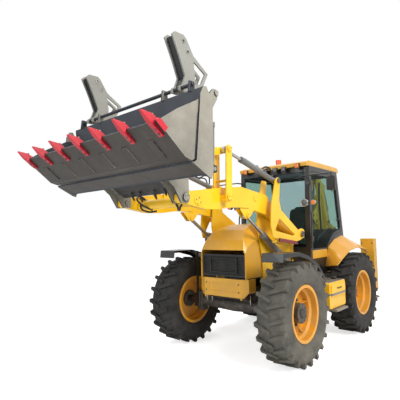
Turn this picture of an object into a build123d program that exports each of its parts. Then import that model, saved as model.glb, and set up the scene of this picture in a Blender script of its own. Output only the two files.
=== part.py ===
from build123d import *
import math
import os

# Backhoe loader with four equal wheels, lifted loader, split bucket and folded backhoe.
# Millimetres, X forward, Y to the machine's left, Z up, tyres on Z = 0.
# Outlines below are written with X measured forward from the rear axle.

os.makedirs("parts", exist_ok=True)

# Whole machine
rear_axle_x = -1262.0          # puts the middle of the overall length on the origin
wheelbase = 2200.0
track = 1980.0                 # between the middles of left and right tyres
tyre_radius = 690.0
tyre_width = 440.0
half_track = track / 2
axle_z = tyre_radius
tyre_inner_y = half_track - tyre_width / 2
steer_room = 160.0             # free length behind a front tyre, for steering

# Sheet and plate gauges
sheet = 8.0
plate = 16.0
heavy_plate = 20.0
running_gap = 6.0              # between plates that move past each other
seat_gap = 0.3                 # between parts that only touch
pin_gap = 0.9                  # radial, pin in bore
rod_gap = 0.8                  # radial, rod in its barrel


def side(y):
    """Upright plane along the machine: local x forward of the rear axle, local y up."""
    return Plane(origin=(rear_axle_x, y, 0), x_dir=(1, 0, 0), z_dir=(0, -1, 0))


def level(z):
    """Flat plane: local x forward of the rear axle, local y to the left."""
    return Plane(origin=(rear_axle_x, 0, z), x_dir=(1, 0, 0), z_dir=(0, 0, 1))


def across(x):
    """Upright plane across the machine at x: local x to the left, local y up."""
    return Plane(origin=(rear_axle_x + x, 0, 0), x_dir=(0, 1, 0), z_dir=(1, 0, 0))


def slab(points, y, thickness, corner=0.0, mode=Mode.ADD):
    """Plate with an upright outline, its middle at y; corner rounds every corner."""
    with BuildSketch(side(y)) as outline:
        with BuildLine():
            Polyline(*points, close=True)
        make_face()
        if corner > 0:
            fillet(outline.vertices(), corner)
    extrude(to_extrude=outline.sketch, amount=thickness / 2, both=True, mode=mode)


def block(x0, x1, y0, y1, z0, z1, mode=Mode.ADD):
    """Box between two corners."""
    with BuildSketch(level(z0)) as outline:
        with Locations(((x0 + x1) / 2, (y0 + y1) / 2)):
            Rectangle(x1 - x0, y1 - y0)
    extrude(to_extrude=outline.sketch, amount=z1 - z0, mode=mode)


def cross_pin(at, y0, y1, radius, mode=Mode.ADD):
    """Round bar along Y between y0 and y1, at (x, z)."""
    with BuildSketch(side(y1)) as outline:
        with Locations(at):
            Circle(radius)
    extrude(to_extrude=outline.sketch, amount=y1 - y0, mode=mode)


def upright_pin(x, y, z0, z1, radius, mode=Mode.ADD):
    """Round bar along Z."""
    with BuildSketch(level(z0)) as outline:
        with Locations((x, y)):
            Circle(radius)
    extrude(to_extrude=outline.sketch, amount=z1 - z0, mode=mode)


def bar(a, b, y, radius, mode=Mode.ADD):
    """Round bar between two points (x, z) of the upright plane at y."""
    dx, dz = b[0] - a[0], b[1] - a[1]
    length = math.hypot(dx, dz)
    start = Plane(origin=(rear_axle_x + a[0], y, a[1]), x_dir=(0, 1, 0), z_dir=(dx, 0, dz))
    with BuildSketch(start) as outline:
        Circle(radius)
    extrude(to_extrude=outline.sketch, amount=length, mode=mode)


def along(a, b, distance):
    """Point at a distance from a towards b."""
    length = math.dist(a, b)
    return (a[0] + (b[0] - a[0]) * distance / length, a[1] + (b[1] - a[1]) * distance / length)


def save(built, name):
    built.part.label = name
    export_step(built.part, f"parts/{name}.step")


# Chassis: two long rails, cross members, brackets for axles and tanks
rail_y = 330.0
rail_plate = 25.0
rail_bottom = 800.0
rail_top = 960.0
rail_front = wheelbase + 250.0
rail_rear = -1099.7
member_width = 80.0
member_places = (rail_rear + member_width / 2, -290.0, 290.0, 1140.0, rail_front - member_width / 2)
lightening_radius = 38.0
lightening_places = (-780.0, -560.0, 60.0, 560.0, 780.0, 980.0, wheelbase - 180.0, wheelbase + 60.0)

with BuildPart() as chassis_frame:
    for y in (-rail_y, rail_y):
        slab([(rail_rear, rail_bottom), (rail_front - 90, rail_bottom), (rail_front, rail_bottom + 50),
              (rail_front, rail_top), (rail_rear, rail_top)], y, rail_plate)
    for x in lightening_places:
        cross_pin((x, (rail_bottom + rail_top) / 2), -rail_y - rail_plate, rail_y + rail_plate, lightening_radius,
                  Mode.SUBTRACT)
    for x in member_places:
        block(x - member_width / 2, x + member_width / 2, -rail_y, rail_y, rail_bottom + 52, rail_top)
save(chassis_frame, "chassis_frame")

# Loader pivots, in the upright plane of each arm
arm_pivot = (1280.0, 1735.0)
arm_y = 525.0
arm_width = 80.0
bucket_pivot = (3888.0, 2202.0)
lever_pivot = (3170.0, 2230.0)
lever_top = (3150.0, 2850.0)
link_eye = (3900.0, 2660.0)
tilt_base = (1965.0, 2545.0)
tilt_y = 612.0
lift_base = (1450.0, 1270.0)
lift_eye = (2620.0, 2020.0)
loader_pin = 35.0

# Loader towers: an inner and an outer plate each side, the arm between them
tower_inner_y = 435.0
tower_outer_y = 670.0
tower_foot_y = rail_y + rail_plate / 2 + seat_gap
lock_bar_y = 630.0
hood_bottom = 1112.0

tower_outer = [(1903, 2560), (2027, 2560), (2165, 2172), (2200, 1882), (2150, 1700), (1575, 1600), (1330, 1640),
               (1178, 1680), (1175, 1800), (1270, 1825), (1380, 1800), (1900, 2106), (1945, 2250)]
tower_inner = [(1903, 2560), (2027, 2560), (2165, 2172), (2200, 1882), (2150, 1660), (2080, 1400), (2080, 1000),
               (2000, rail_top - 60), (1350, rail_top - 60), (1300, 1300), (1178, 1640), (1175, 1800), (1270, 1825),
               (1380, 1800), (1900, 2106), (1945, 2250)]

with BuildPart() as loader_towers:
    slab(tower_outer, tower_outer_y, plate, 25)
    slab([(1420, 1690), (2090, 1800), (1960, 1980)], tower_outer_y, plate * 2, 20, Mode.SUBTRACT)
    slab(tower_inner, tower_inner_y, plate, 25)
    block(1180, 1180 + plate, tower_inner_y, tower_outer_y, 1690, 1790)
    cross_pin(arm_pivot, tower_inner_y, tower_outer_y + 30, loader_pin)
    cross_pin(arm_pivot, tower_outer_y, tower_outer_y + plate, loader_pin + 22)
    cross_pin(tilt_base, tower_outer_y, tower_outer_y + plate, 46)
    cross_pin(tilt_base, tilt_y - 32, tower_outer_y + 24, 28)
    block(1350, 2000, tower_foot_y, tower_inner_y, rail_top - 60, rail_top - 30)
    for x in (1350, 1660, 1984):
        slab([(x, rail_top - 60), (x + plate, rail_top - 60), (x + plate, hood_bottom - 12), (x, hood_bottom - 12)],
             (tower_foot_y + tower_inner_y) / 2, tower_inner_y - tower_foot_y)
    cross_pin(lift_base, tower_inner_y, arm_y + 50, 28)
    bar((1500, 1575), (2060, 1640), lock_bar_y, 26)
    for x, z in ((1600, 1575), (1990, 1630)):
        block(x, x + 40, lock_bar_y, tower_outer_y, z, z + 60)
    mirror(about=Plane.XZ)
save(loader_towers, "loader_towers")

# Engine: one plain block of the real size
with BuildPart() as engine_block:
    block(1300, 2060, -240, 240, 800, 1420)
    for x in (1400, 1900):
        block(x, x + 90, -rail_y + rail_plate / 2 + seat_gap, rail_y - rail_plate / 2 - seat_gap, 840, 900)
save(engine_block, "engine_block")

# Hood: a ruled shell through sections (x, half width, shoulder z, half width of the top, top z)
hood_wall = 14.0
hood_front = wheelbase + 290.0
hood_half = 420.0
hood_sections = [
    (hood_front, hood_half, 1478, 388, 1538),
    (hood_front - 46, hood_half, 1556, 352, 1668),
    (hood_front - 190, hood_half, 1640, 286, 1822),
    (hood_front - 410, hood_half, 1690, 240, 1896),
    (1085, hood_half, 1730, 235, 1945),
]
recess_depth = 6.0             # shallow panel pressed into each side of the hood
recess_outline = [(1560, 1250), (2250, 1250), (2250, 1470), (2080, 1560), (1560, 1590)]
latch_places = ((1700.0, 1420.0), (1700.0, 1330.0))


def hood_section(x, half, shoulder, half_top, top, inset):
    """Hood outline across the machine, drawn in by inset."""
    with BuildSketch(across(x)) as outline:
        with BuildLine():
            Polyline((half - inset, hood_bottom), (half - inset, shoulder - inset / 2),
                     (half_top - inset / 2, top - inset), (-half_top + inset / 2, top - inset),
                     (-half + inset, shoulder - inset / 2), (-half + inset, hood_bottom), close=True)
        make_face()
    return outline.sketch


with BuildPart() as hood:
    for inset, mode in ((0.0, Mode.ADD), (hood_wall, Mode.SUBTRACT)):
        loft(sections=[hood_section(*row, inset) for row in hood_sections], ruled=True, mode=mode)
    for hand in (-1, 1):
        slab(recess_outline, hand * hood_half, 2 * recess_depth, 24, Mode.SUBTRACT)
        for at in latch_places:
            cross_pin(at, min(hand * (hood_half - 10), hand * (hood_half + 6)),
                      max(hand * (hood_half - 10), hand * (hood_half + 6)), 24)
save(hood, "hood")

# Grille: frame with bars, set in the front of the hood
grille_x = hood_front - 46.0
grille_half = hood_half - hood_wall - seat_gap
grille_bottom = 1135.0
grille_top = 1462.0
grille_bars = 14
grille_depth = 25.0
grille_rim = 30.0
raised_half = 250.0            # raised frame in the middle of the grille
raised_bar = 14.0

with BuildPart() as front_grille:
    block(grille_x, grille_x + grille_depth, -grille_half, grille_half, grille_bottom, grille_top)
    block(grille_x - 1, grille_x + grille_depth + 1, -grille_half + grille_rim, grille_half - grille_rim,
          grille_bottom + grille_rim, grille_top - grille_rim, Mode.SUBTRACT)
    bar_step = (grille_top - grille_bottom) / (grille_bars + 1)
    for index in range(1, grille_bars + 1):
        z = grille_bottom + index * bar_step
        block(grille_x + 4, grille_x + 16, -grille_half + 20, grille_half - 20, z - 4, z + 4)
    for y0, y1 in ((-raised_half, -raised_half + raised_bar), (raised_half - raised_bar, raised_half)):
        block(grille_x + 4, grille_x + grille_depth + 12, y0, y1, grille_bottom + 55, grille_top - 55)
    for z in (grille_bottom + 55, grille_top - 55 - raised_bar):
        block(grille_x + 4, grille_x + grille_depth + 12, -raised_half, raised_half, z, z + raised_bar)
save(front_grille, "front_grille")

# Bumper: plan with swept wings, lower edges cut at a slope, pocket behind for the rails
bumper_front = wheelbase + 312.0
bumper_rear = wheelbase + 90.0
bumper_half = 445.0
bumper_bottom = 850.0
bumper_wing = 50.0             # how far the wings sweep back
with BuildPart() as front_bumper:
    with BuildSketch(level(bumper_bottom)) as plan:
        with BuildLine():
            Polyline((bumper_rear, -bumper_half), (bumper_front - bumper_wing, -bumper_half),
                     (bumper_front, -bumper_half + 110), (bumper_front, bumper_half - 110),
                     (bumper_front - bumper_wing, bumper_half), (bumper_rear, bumper_half), close=True)
        make_face()
    extrude(to_extrude=plan.sketch, amount=hood_bottom - seat_gap - bumper_bottom)
    with BuildSketch(across(bumper_rear - 1)) as face:
        with BuildLine():
            Polyline((-bumper_half - 1, bumper_bottom + 85), (-bumper_half + 75, bumper_bottom - 1),
                     (bumper_half - 75, bumper_bottom - 1), (bumper_half + 1, bumper_bottom + 85),
                     (bumper_half + 1, hood_bottom), (-bumper_half - 1, hood_bottom), close=True)
        make_face()
    extrude(to_extrude=face.sketch, amount=bumper_front - bumper_rear + 2, mode=Mode.INTERSECT)
    block(bumper_rear - 5, rail_front + seat_gap, -bumper_half + 20, bumper_half - 20, bumper_bottom - 5,
          hood_bottom + 5, Mode.SUBTRACT)
    block(bumper_front - 8, bumper_front + 5, -250, 250, 925, 1045, Mode.SUBTRACT)
    for hand in (-1, 1):
        upright_pin(bumper_front - 20, hand * 330, bumper_bottom - 30, bumper_bottom + 10, 16)
save(front_bumper, "front_bumper")

# Axles
spindle_radius = 50.0
king_y = half_track - 277.0
king_ear = 38.0
king_radius = 24.0
with BuildPart() as front_axle:
    with BuildSketch(side(-king_y + 100)) as tube_end:
        with Locations((wheelbase, axle_z)):
            Circle(75)
    with BuildSketch(side(0)) as tube_middle:
        with Locations((wheelbase, axle_z)):
            Circle(105)
    with BuildSketch(side(king_y - 100)) as tube_other:
        with Locations((wheelbase, axle_z)):
            Circle(75)
    loft(sections=[tube_end.sketch, tube_middle.sketch, tube_other.sketch], ruled=True)
    for hand in (-1, 1):
        for z in (axle_z - 150, axle_z + 110):
            with BuildSketch(level(z)) as ear:
                with Locations((wheelbase, hand * (king_y - 60))):
                    Rectangle(2 * king_ear, 120)
                with Locations((wheelbase, hand * king_y)):
                    Circle(king_ear)
            extrude(to_extrude=ear.sketch, amount=40)
        block(wheelbase - 60, wheelbase + 60, hand * (king_y - 90) - 25, hand * (king_y - 90) + 25,
              axle_z - 150, axle_z + 150)
        upright_pin(wheelbase, hand * king_y, axle_z - 160, axle_z + 160, king_radius + pin_gap, Mode.SUBTRACT)
    block(wheelbase - 60, wheelbase + 60, -rail_y, rail_y, axle_z + 40, rail_bottom)
save(front_axle, "front_axle")

with BuildPart() as rear_axle:
    cross_pin((0, axle_z), -half_track + 102, half_track - 102, 95)
    cross_pin((0, axle_z), -half_track + 15, half_track - 15, spindle_radius)
    cross_pin((0, axle_z), -170, 170, 190)
    block(-90, 90, -rail_y - 12, rail_y + 12, axle_z + 50, rail_bottom)
save(rear_axle, "rear_axle")

# Tyre: hollow ring with slanted lugs
bead_radius = 356.0
rim_flange = 381.0
carcass_radius = 655.0
lugs_each_side = 22
lug_reach = 62.0                # half length of a lug along the tread
lug_top = math.sqrt(tyre_radius ** 2 - lug_reach ** 2)


def tyre_section():
    half = tyre_width / 2
    with BuildSketch(Plane.XY) as outline:
        with BuildLine():
            for hand in (1, -1):
                ThreePointArc((bead_radius + 28, hand * (half - 52)), (520, hand * half), (carcass_radius - 40, hand * (half - 22)))
                Line((carcass_radius - 40, hand * (half - 22)), (carcass_radius, hand * (half - 62)))
                Polyline((bead_radius + 28, hand * (half - 52)), (rim_flange + 3, hand * (half - 62)),
                         (bead_radius, hand * (half - 62)), (bead_radius + 20, hand * (half - 85)))
                ThreePointArc((bead_radius + 20, hand * (half - 85)), (530, hand * (half - 34)), (612, hand * (half - 72)))
            Line((carcass_radius, half - 62), (carcass_radius, -half + 62))
            Line((612, half - 72), (612, -half + 72))
        make_face()
    return outline.sketch


tread_outer_y = tyre_width / 2 - 20
tread_inner_y = -12.0            # lugs of both sides cross the middle a little
lug_foot = 25.0                # how deep a lug is rooted in the carcass
buttress_foot = 588.0          # radius where a lug's shoulder ends on the wall

with BuildPart() as tyre:
    revolve(profiles=tyre_section(), axis=Axis.Y)
    pitch = 360 / lugs_each_side
    for side_sign, stagger in ((1, 0.0), (-1, 0.5)):
        for index in range(lugs_each_side):
            turn = (index + stagger) * pitch
            radial = Plane(origin=(0, 0, 0), x_dir=(0, 1, 0),
                           z_dir=(math.cos(math.radians(turn)), 0, -math.sin(math.radians(turn))))
            with BuildSketch(radial.offset(carcass_radius - lug_foot)) as lug:
                with BuildLine():
                    Polyline((side_sign * tread_inner_y, -lug_reach), (side_sign * tread_outer_y, lug_reach - 50),
                             (side_sign * tread_outer_y, lug_reach), (side_sign * tread_inner_y, -lug_reach + 38),
                             close=True)
                make_face()
            extrude(to_extrude=lug.sketch, amount=lug_top - carcass_radius + lug_foot)
            with BuildSketch(radial.offset(buttress_foot)) as buttress:
                with Locations((side_sign * (tread_outer_y - 16), lug_reach - 25)):
                    Rectangle(48, 50)
            extrude(to_extrude=buttress.sketch, amount=lug_top - buttress_foot - 14)
tyre_shape = tyre.part

# Rim: deep dish, with hub and planetary drive
gusset_count = 8


def rim_at(disc_y, hub_front):
    """Rim about Y, outer side towards +Y; the disc lies at disc_y and the hub reaches hub_front."""
    half = tyre_width / 2
    with BuildPart() as rim:
        with BuildSketch(Plane.XY) as outline:
            with BuildLine():
                Polyline((rim_flange, half - 42), (rim_flange, half - 60), (bead_radius - seat_gap, half - 62),
                         (bead_radius - 4, 90), (320, 60), (320, -60), (bead_radius - 4, -90),
                         (bead_radius - seat_gap, -half + 62), (rim_flange, -half + 60), (rim_flange, -half + 42),
                         (bead_radius - 16, -half + 48), (bead_radius - 18, -92), (306, -66),
                         (306, disc_y - 8), (130, disc_y - 8), (130, disc_y + 8), (306, disc_y + 8), (306, 66),
                         (bead_radius - 18, 92), (bead_radius - 16, half - 48), close=True)
            make_face()
        revolve(profiles=outline.sketch, axis=Axis.Y)
        with BuildSketch(Plane(origin=(0, hub_front, 0), x_dir=(1, 0, 0), z_dir=(0, -1, 0))) as hub:
            Circle(132)
            Circle(spindle_radius + 0.6, mode=Mode.SUBTRACT)
        extrude(to_extrude=hub.sketch, amount=hub_front - disc_y + 40)
        with BuildSketch(Plane(origin=(0, hub_front, 0), x_dir=(1, 0, 0), z_dir=(0, -1, 0))) as cap:
            Circle(110)
        extrude(to_extrude=cap.sketch, amount=30)
        for index in range(gusset_count):
            turn = math.radians((index + 0.5) * 360 / gusset_count)
            web = Plane(origin=(0, 0, 0), x_dir=(math.cos(turn), 0, math.sin(turn)),
                        z_dir=(math.sin(turn), 0, -math.cos(turn)))
            up_sign = web.to_local_coords(Vector(0, 1, 0)).Y
            with BuildSketch(web) as gusset:
                with BuildLine():
                    Polyline((308, up_sign * (disc_y + 4)), (308, up_sign * (disc_y + 72)),
                             (214, up_sign * (disc_y + 4)), close=True)
                make_face()
            extrude(to_extrude=gusset.sketch, amount=5, both=True)
    return rim.part


front_rim_shape = rim_at(-10, 120)
rear_rim_shape = rim_at(-60, 20)

wheels = [  # name, x, side, rim
    ("front_left", wheelbase, 1, front_rim_shape),
    ("front_right", wheelbase, -1, front_rim_shape),
    ("rear_left", 0, 1, rear_rim_shape),
    ("rear_right", 0, -1, rear_rim_shape),
]
for name, x, wheel_side, rim_shape in wheels:
    place = Location((rear_axle_x + x, wheel_side * half_track, axle_z))
    for kind, shape in (("tyre", tyre_shape), ("rim", rim_shape)):
        with BuildPart() as wheel_piece:
            add((shape if wheel_side > 0 else shape.mirror(Plane.XZ)).moved(place))
        save(wheel_piece, f"{kind}_{name}")

# Steering knuckles with their fenders
fender_inner = half_track - 177.0
fender_outer = half_track + 143.0
fender_stay_y = half_track - 230.0
fender_under = 1484.0
fender_sheet = 10.0
fender_flange = 58.0           # edge turned down along the outer side
front_fender_line = [(wheelbase + x, z) for x, z in ((496, 1402), (480, 1508), (60, 1508), (-200, 1447), (-510, 1305),
                                                     (-730, 1095))]

for name, hand in (("left", 1), ("right", -1)):
    with BuildPart() as knuckle:
        with BuildSketch(level(axle_z - 108)) as carrier:
            with Locations((wheelbase, hand * king_y)):
                Circle(45)
            with Locations((wheelbase, hand * (king_y + 45))):
                Rectangle(90, 90)
        extrude(to_extrude=carrier.sketch, amount=216)
        cross_pin((wheelbase, axle_z), min(hand * (king_y + 90), hand * (half_track + 80)),
                  max(hand * (king_y + 90), hand * (half_track + 80)), spindle_radius)
        upright_pin(wheelbase, hand * king_y, axle_z - 160, axle_z + 160, king_radius)
        with BuildSketch(side(hand * (fender_inner + fender_outer) / 2)) as band:
            with BuildLine():
                Polyline(*front_fender_line, *[(x - 6, z - fender_sheet) for x, z in reversed(front_fender_line)],
                         close=True)
            make_face()
        extrude(to_extrude=band.sketch, amount=(fender_outer - fender_inner) / 2, both=True)
        with BuildSketch(side(hand * (fender_outer - 4))) as flange:
            with BuildLine():
                Polyline(*front_fender_line[1:], *[(x - 8, z - fender_flange) for x, z in reversed(front_fender_line[1:])],
                         close=True)
            make_face()
        extrude(to_extrude=flange.sketch, amount=4, both=True)
        slab([(wheelbase - 25, axle_z + 90), (wheelbase + 25, axle_z + 90), (wheelbase + 25, fender_under),
              (wheelbase - 25, fender_under)], hand * fender_stay_y, 8)
        block(wheelbase - 25, wheelbase + 25, min(hand * (fender_stay_y - 4), hand * (fender_inner + 100)),
              max(hand * (fender_stay_y - 4), hand * (fender_inner + 100)), fender_under - 10, fender_under)
    save(knuckle, f"knuckle_{name}")

# Loader arms, joined by a cross tube near the front
arm_outline = [(3950, 2160), (3950, 2240), (3894, 2268), (3298, 2347), (2758, 2404), (2128, 2324), (1938, 2183),
               (1239, 1799), (1205, 1735), (1260, 1670), (1446, 1735), (2091, 2030), (2607, 2118), (2931, 2121),
               (3228, 2086), (3500, 2079), (3815, 2128)]
lift_ear = 10.0
eye_pocket = [(2490, 1960), (2710, 1960), (2700, 2168), (2500, 2168)]     # room for the rod's eye, open below
arm_boss_y = arm_y
arm_boss_half = arm_width / 2 + 7
lever_inner_y = 468.0
lever_outer_y = 670.0
lever_pin = 28.0

with BuildPart() as loader_arm:
    slab(arm_outline, arm_y, arm_width, 12)
    for y in (arm_y - arm_width / 2 + lift_ear / 2, arm_y + arm_width / 2 - lift_ear / 2):
        slab([(2440, 2110), (2800, 2110), (2660, 1972), (2580, 1972)], y, lift_ear, 10)
    slab(eye_pocket, arm_y, arm_width - 2 * lift_ear, mode=Mode.SUBTRACT)
    cross_pin(arm_pivot, tower_inner_y + plate / 2 + running_gap, tower_outer_y - plate / 2 - running_gap, 62)
    cross_pin(bucket_pivot, arm_boss_y - arm_boss_half, arm_boss_y + arm_boss_half, 62)
    for y in (arm_y - arm_width / 2 - 8, arm_y + arm_width / 2 + 8):
        cross_pin(lift_eye, y - 8, y + 8, 40)
    cross_pin(lever_pivot, arm_y + arm_width / 2, lever_outer_y - plate / 2 - running_gap, 50)
    cross_pin(lever_pivot, lever_inner_y - plate, lever_outer_y + plate, lever_pin)
    cross_pin(arm_pivot, tower_inner_y, tower_outer_y, loader_pin + pin_gap, Mode.SUBTRACT)
    cross_pin(bucket_pivot, arm_y - arm_width, arm_y + arm_width, loader_pin + pin_gap, Mode.SUBTRACT)
    mirror(about=Plane.XZ)
    cross_pin((3640, 2175), -arm_y, arm_y, 62)
save(loader_arm, "loader_arm")


def strut(a, b, y, thickness, radius_a, radius_b):
    """Flat link with round ends about two points of the upright plane at y."""
    length = math.dist(a, b)
    nx, nz = -(b[1] - a[1]) / length, (b[0] - a[0]) / length
    with BuildSketch(side(y)) as outline:
        with Locations(a):
            Circle(radius_a)
        with Locations(b):
            Circle(radius_b)
        with BuildLine():
            Polyline((a[0] + nx * radius_a, a[1] + nz * radius_a), (a[0] - nx * radius_a, a[1] - nz * radius_a),
                     (b[0] - nx * radius_b, b[1] - nz * radius_b), (b[0] + nx * radius_b, b[1] + nz * radius_b),
                     close=True)
        make_face()
    extrude(to_extrude=outline.sketch, amount=thickness / 2, both=True)


lug_inner_y = 462.0            # bucket lugs, inside and outside the arm
lug_outer_y = 588.0
lever_width = 62.0
link_y = 540.0
link_width = 40.0

with BuildPart() as levers:
    for y in (lever_inner_y, lever_outer_y):
        strut(lever_pivot, lever_top, y, plate, lever_width, 56)
    block(3151, 3175, lever_inner_y, lever_outer_y, 2432, 2460)
    cross_pin(lever_pivot, lever_inner_y - plate, lever_outer_y + plate, lever_pin + pin_gap, Mode.SUBTRACT)
    cross_pin(lever_top, lever_inner_y - plate, link_y + link_width / 2 + 2, lever_pin)
    cross_pin(lever_top, lever_outer_y, lever_outer_y + plate, 42)
    mirror(about=Plane.XZ)
save(levers, "levers")

with BuildPart() as links:
    strut(lever_top, link_eye, link_y, link_width, 46, 46)
    cross_pin(lever_top, link_y - link_width, link_y + link_width, lever_pin + pin_gap, Mode.SUBTRACT)
    cross_pin(link_eye, lug_inner_y + heavy_plate / 2 + 1, lug_outer_y - heavy_plate / 2 - 1, lever_pin)
    mirror(about=Plane.XZ)
save(links, "links")


def barrel_of(base, eye, y, length, radius, bore, base_pin, eye_width, hollow_from):
    """Cylinder barrel from its base pin towards the rod's eye, with an open bore."""
    cross_pin(base, y - eye_width / 2, y + eye_width / 2, base_pin + 18)
    bar(along(base, eye, base_pin + 2), along(base, eye, length), y, radius)
    bar(along(base, eye, length - 45), along(base, eye, length), y, radius + 5)
    bar(along(base, eye, hollow_from), along(base, eye, length + 5), y, bore, Mode.SUBTRACT)
    cross_pin(base, y - eye_width, y + eye_width, base_pin + pin_gap, Mode.SUBTRACT)


def rod_of(base, eye, y, start, radius, eye_pin, eye_width, pin_reach):
    """Cylinder rod: starts inside the barrel and ends in an eye with its own pin; pin_reach is (inward, outward)."""
    cross_pin(eye, y - eye_width / 2, y + eye_width / 2, eye_pin + 18)
    bar(along(base, eye, start), along(eye, base, eye_pin + 4), y, radius)
    cross_pin(eye, y - pin_reach[0], y + pin_reach[1], eye_pin)


# Loader cylinders: name, base, rod's eye, y, barrel length, radii of barrel and rod, pins, eye width, rod start,
# hollow from, reach of the eye's pin inward and outward
clam_pivot = (4200.0, 3020.0)
clam_ear = (4060.0, 3200.0)
clam_base = (4085.0, 2430.0)
bucket_half = 1236.0
side_plate = 16.0
clam_arm_width = 24.0
back_side_y = bucket_half - side_plate / 2
clam_side_y = back_side_y - side_plate - running_gap
clam_arm_y = clam_side_y + side_plate / 2 - clam_arm_width / 2
clam_cylinder_y = clam_arm_y - 52.0
loader_cylinders = [
    ("lift", lift_base, lift_eye, arm_y, 864, 46, 26, 28, 26, 40, 440, 60, (29, 29)),
    ("tilt", tilt_base, lever_top, tilt_y, 880, 38, 23, 28, 28, 36, 300, 60, (45, 49)),
    ("clam", clam_base, clam_ear, clam_cylinder_y, 480, 34, 18, 20, 20, 34, 260, 55, (20, 39)),
]
for name, base, eye, y, length, radius, rod_radius, base_pin, eye_pin, eye_width, start, hollow, reach in loader_cylinders:
    with BuildPart() as barrels:
        barrel_of(base, eye, y, length, radius, rod_radius + rod_gap, base_pin, eye_width, hollow)
        mirror(about=Plane.XZ)
    save(barrels, f"{name}_barrels")
    with BuildPart() as rods:
        rod_of(base, eye, y, start, rod_radius, eye_pin, eye_width, reach)
        mirror(about=Plane.XZ)
    save(rods, f"{name}_rods")

# Split bucket: back section
fork_bar = (4190.0, 3315.0)
fork_bar_radius = 20.0
back_side = [(4150, 2400), (4175, 2320), (4225, 2335), (4445, 2446), (4392, 2476), (4320, 3140), (4277, 3214),
             (4232, 3221), (4150, 3100)]
lug_outline = [(3822, 2140), (3838, 2700), (3950, 2760), (4172, 2960), (4172, 2480), (4190, 2400), (4060, 2300),
               (3950, 2135)]

with BuildPart() as bucket_back:
    for hand in (-1, 1):
        slab(back_side, hand * back_side_y, side_plate)
        for y in (lug_inner_y, lug_outer_y):
            slab(lug_outline, hand * y, heavy_plate, 20)
        cross_pin(bucket_pivot, min(hand * 435, hand * 615), max(hand * 435, hand * 615), loader_pin)
        for y0, y1 in ((438, 452), (598, 612)):
            cross_pin(link_eye, min(hand * y0, hand * y1), max(hand * y0, hand * y1), 44)
        for y in (clam_cylinder_y - 43, clam_cylinder_y + 43):
            slab([(4172, 2360), (4172, 2520), (4100, 2475), (4050, 2460), (4050, 2400), (4100, 2385)], hand * y, 12)
        cross_pin(clam_base, min(hand * (clam_cylinder_y - 53), hand * (clam_cylinder_y + 53)),
                  max(hand * (clam_cylinder_y - 53), hand * (clam_cylinder_y + 53)), 20)
        cross_pin(clam_pivot, min(hand * (clam_arm_y - 20), hand * bucket_half),
                  max(hand * (clam_arm_y - 20), hand * bucket_half), 30)
        for y in (600, 1000):
            slab([(4200, 3230), (4240, 3230), (4225, 3350), (4155, 3350), (4150, 3230)], hand * y, 20, 5)
    slab([(4205, 3240), (4221, 3240), (4181, 2840), (4165, 2840)], 0, 2 * (clam_cylinder_y + 15))
    slab([(4165, 2840), (4181, 2840), (4178, 2480), (4235, 2375), (4440, 2462), (4440, 2440), (4228, 2352),
          (4162, 2475)], 0, 2 * (bucket_half - side_plate))
    cross_pin(fork_bar, -1030, 1030, fork_bar_radius)
save(bucket_back, "bucket_back")

# Split bucket: opening front section
floor_angle = 38.5
lip = (4872.0, 2752.0)


def on_floor(u, v):
    """Point at u forward of the lip along the floor and v above the floor's underside."""
    c, s = math.cos(math.radians(floor_angle)), math.sin(math.radians(floor_angle))
    return (lip[0] + u * c - v * s, lip[1] + u * s + v * c)


clam_side = [(4332, 3080), (4345, 3066), (4615, 2921), (4800, 2800), (4842, 2764), (4545, 2502), (4460, 2462),
             (4402, 2486)]
lip_thickness = 20.0
floor_length = 418.0
wear_strip_count = 6           # welded beneath the floor, between the teeth
wear_strip_reach = bucket_half - 256.0

with BuildPart() as bucket_clam:
    for hand in (-1, 1):
        slab(clam_side, hand * clam_side_y, side_plate)
        with BuildSketch(side(hand * clam_arm_y)) as arm:
            with BuildLine():
                Polyline((4040, 3150), (4150, 2985), (4390, 2930), (4400, 3030), (4345, 3066), (4250, 3085),
                         (4100, 3240), (4030, 3240), close=True)
            make_face()
            fillet(arm.vertices(), 12)
        extrude(to_extrude=arm.sketch, amount=clam_arm_width / 2, both=True)
        cross_pin(clam_ear, min(hand * clam_arm_y, hand * (clam_arm_y + clam_arm_width / 2 + 4)),
                  max(hand * clam_arm_y, hand * (clam_arm_y + clam_arm_width / 2 + 4)), 26)
        cross_pin(clam_pivot, min(hand * (clam_arm_y - 52), hand * (clam_arm_y + 14)),
                  max(hand * (clam_arm_y - 52), hand * (clam_arm_y + 14)), 30 + pin_gap, Mode.SUBTRACT)
    slab([on_floor(0, 0), on_floor(0, lip_thickness), on_floor(-floor_length, 16), (4452, 2478), (4446, 2464),
          on_floor(-floor_length - 8, 0)], 0, 2 * (bucket_half - running_gap))
    for index in range(wear_strip_count):
        y = (index - (wear_strip_count - 1) / 2) * 2 * wear_strip_reach / (wear_strip_count - 1)
        slab([on_floor(-175, 1), on_floor(-175, -10), on_floor(-395, -10), on_floor(-395, 1)], y, 70)
save(bucket_clam, "bucket_clam")

# Teeth: forked over the lip
tooth_count = 7
tooth_width = 66.0
tooth_outline = [(245, 4), (238, 20), (60, 52), (-38, 54), (-38, lip_thickness + seat_gap), (seat_gap, lip_thickness + seat_gap),
                 (seat_gap, -seat_gap), (-150, -seat_gap), (-150, -22), (60, -30)]
guard_outline = [(20, -14), (20, 26), (-30, 62), (-150, 62), (-150, -14)]     # corner guard on the lip's end
guard_plate = running_gap - seat_gap
with BuildPart() as bucket_teeth:
    tooth_reach = clam_side_y - side_plate / 2 - running_gap - tooth_width / 2
    tooth_step = 2 * tooth_reach / (tooth_count - 1)
    for index in range(tooth_count):
        slab([on_floor(u, v) for u, v in tooth_outline], -tooth_reach + index * tooth_step, tooth_width)
    for hand in (-1, 1):
        slab([on_floor(u, v) for u, v in guard_outline], hand * (bucket_half - guard_plate / 2), guard_plate)
save(bucket_teeth, "bucket_teeth")

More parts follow.
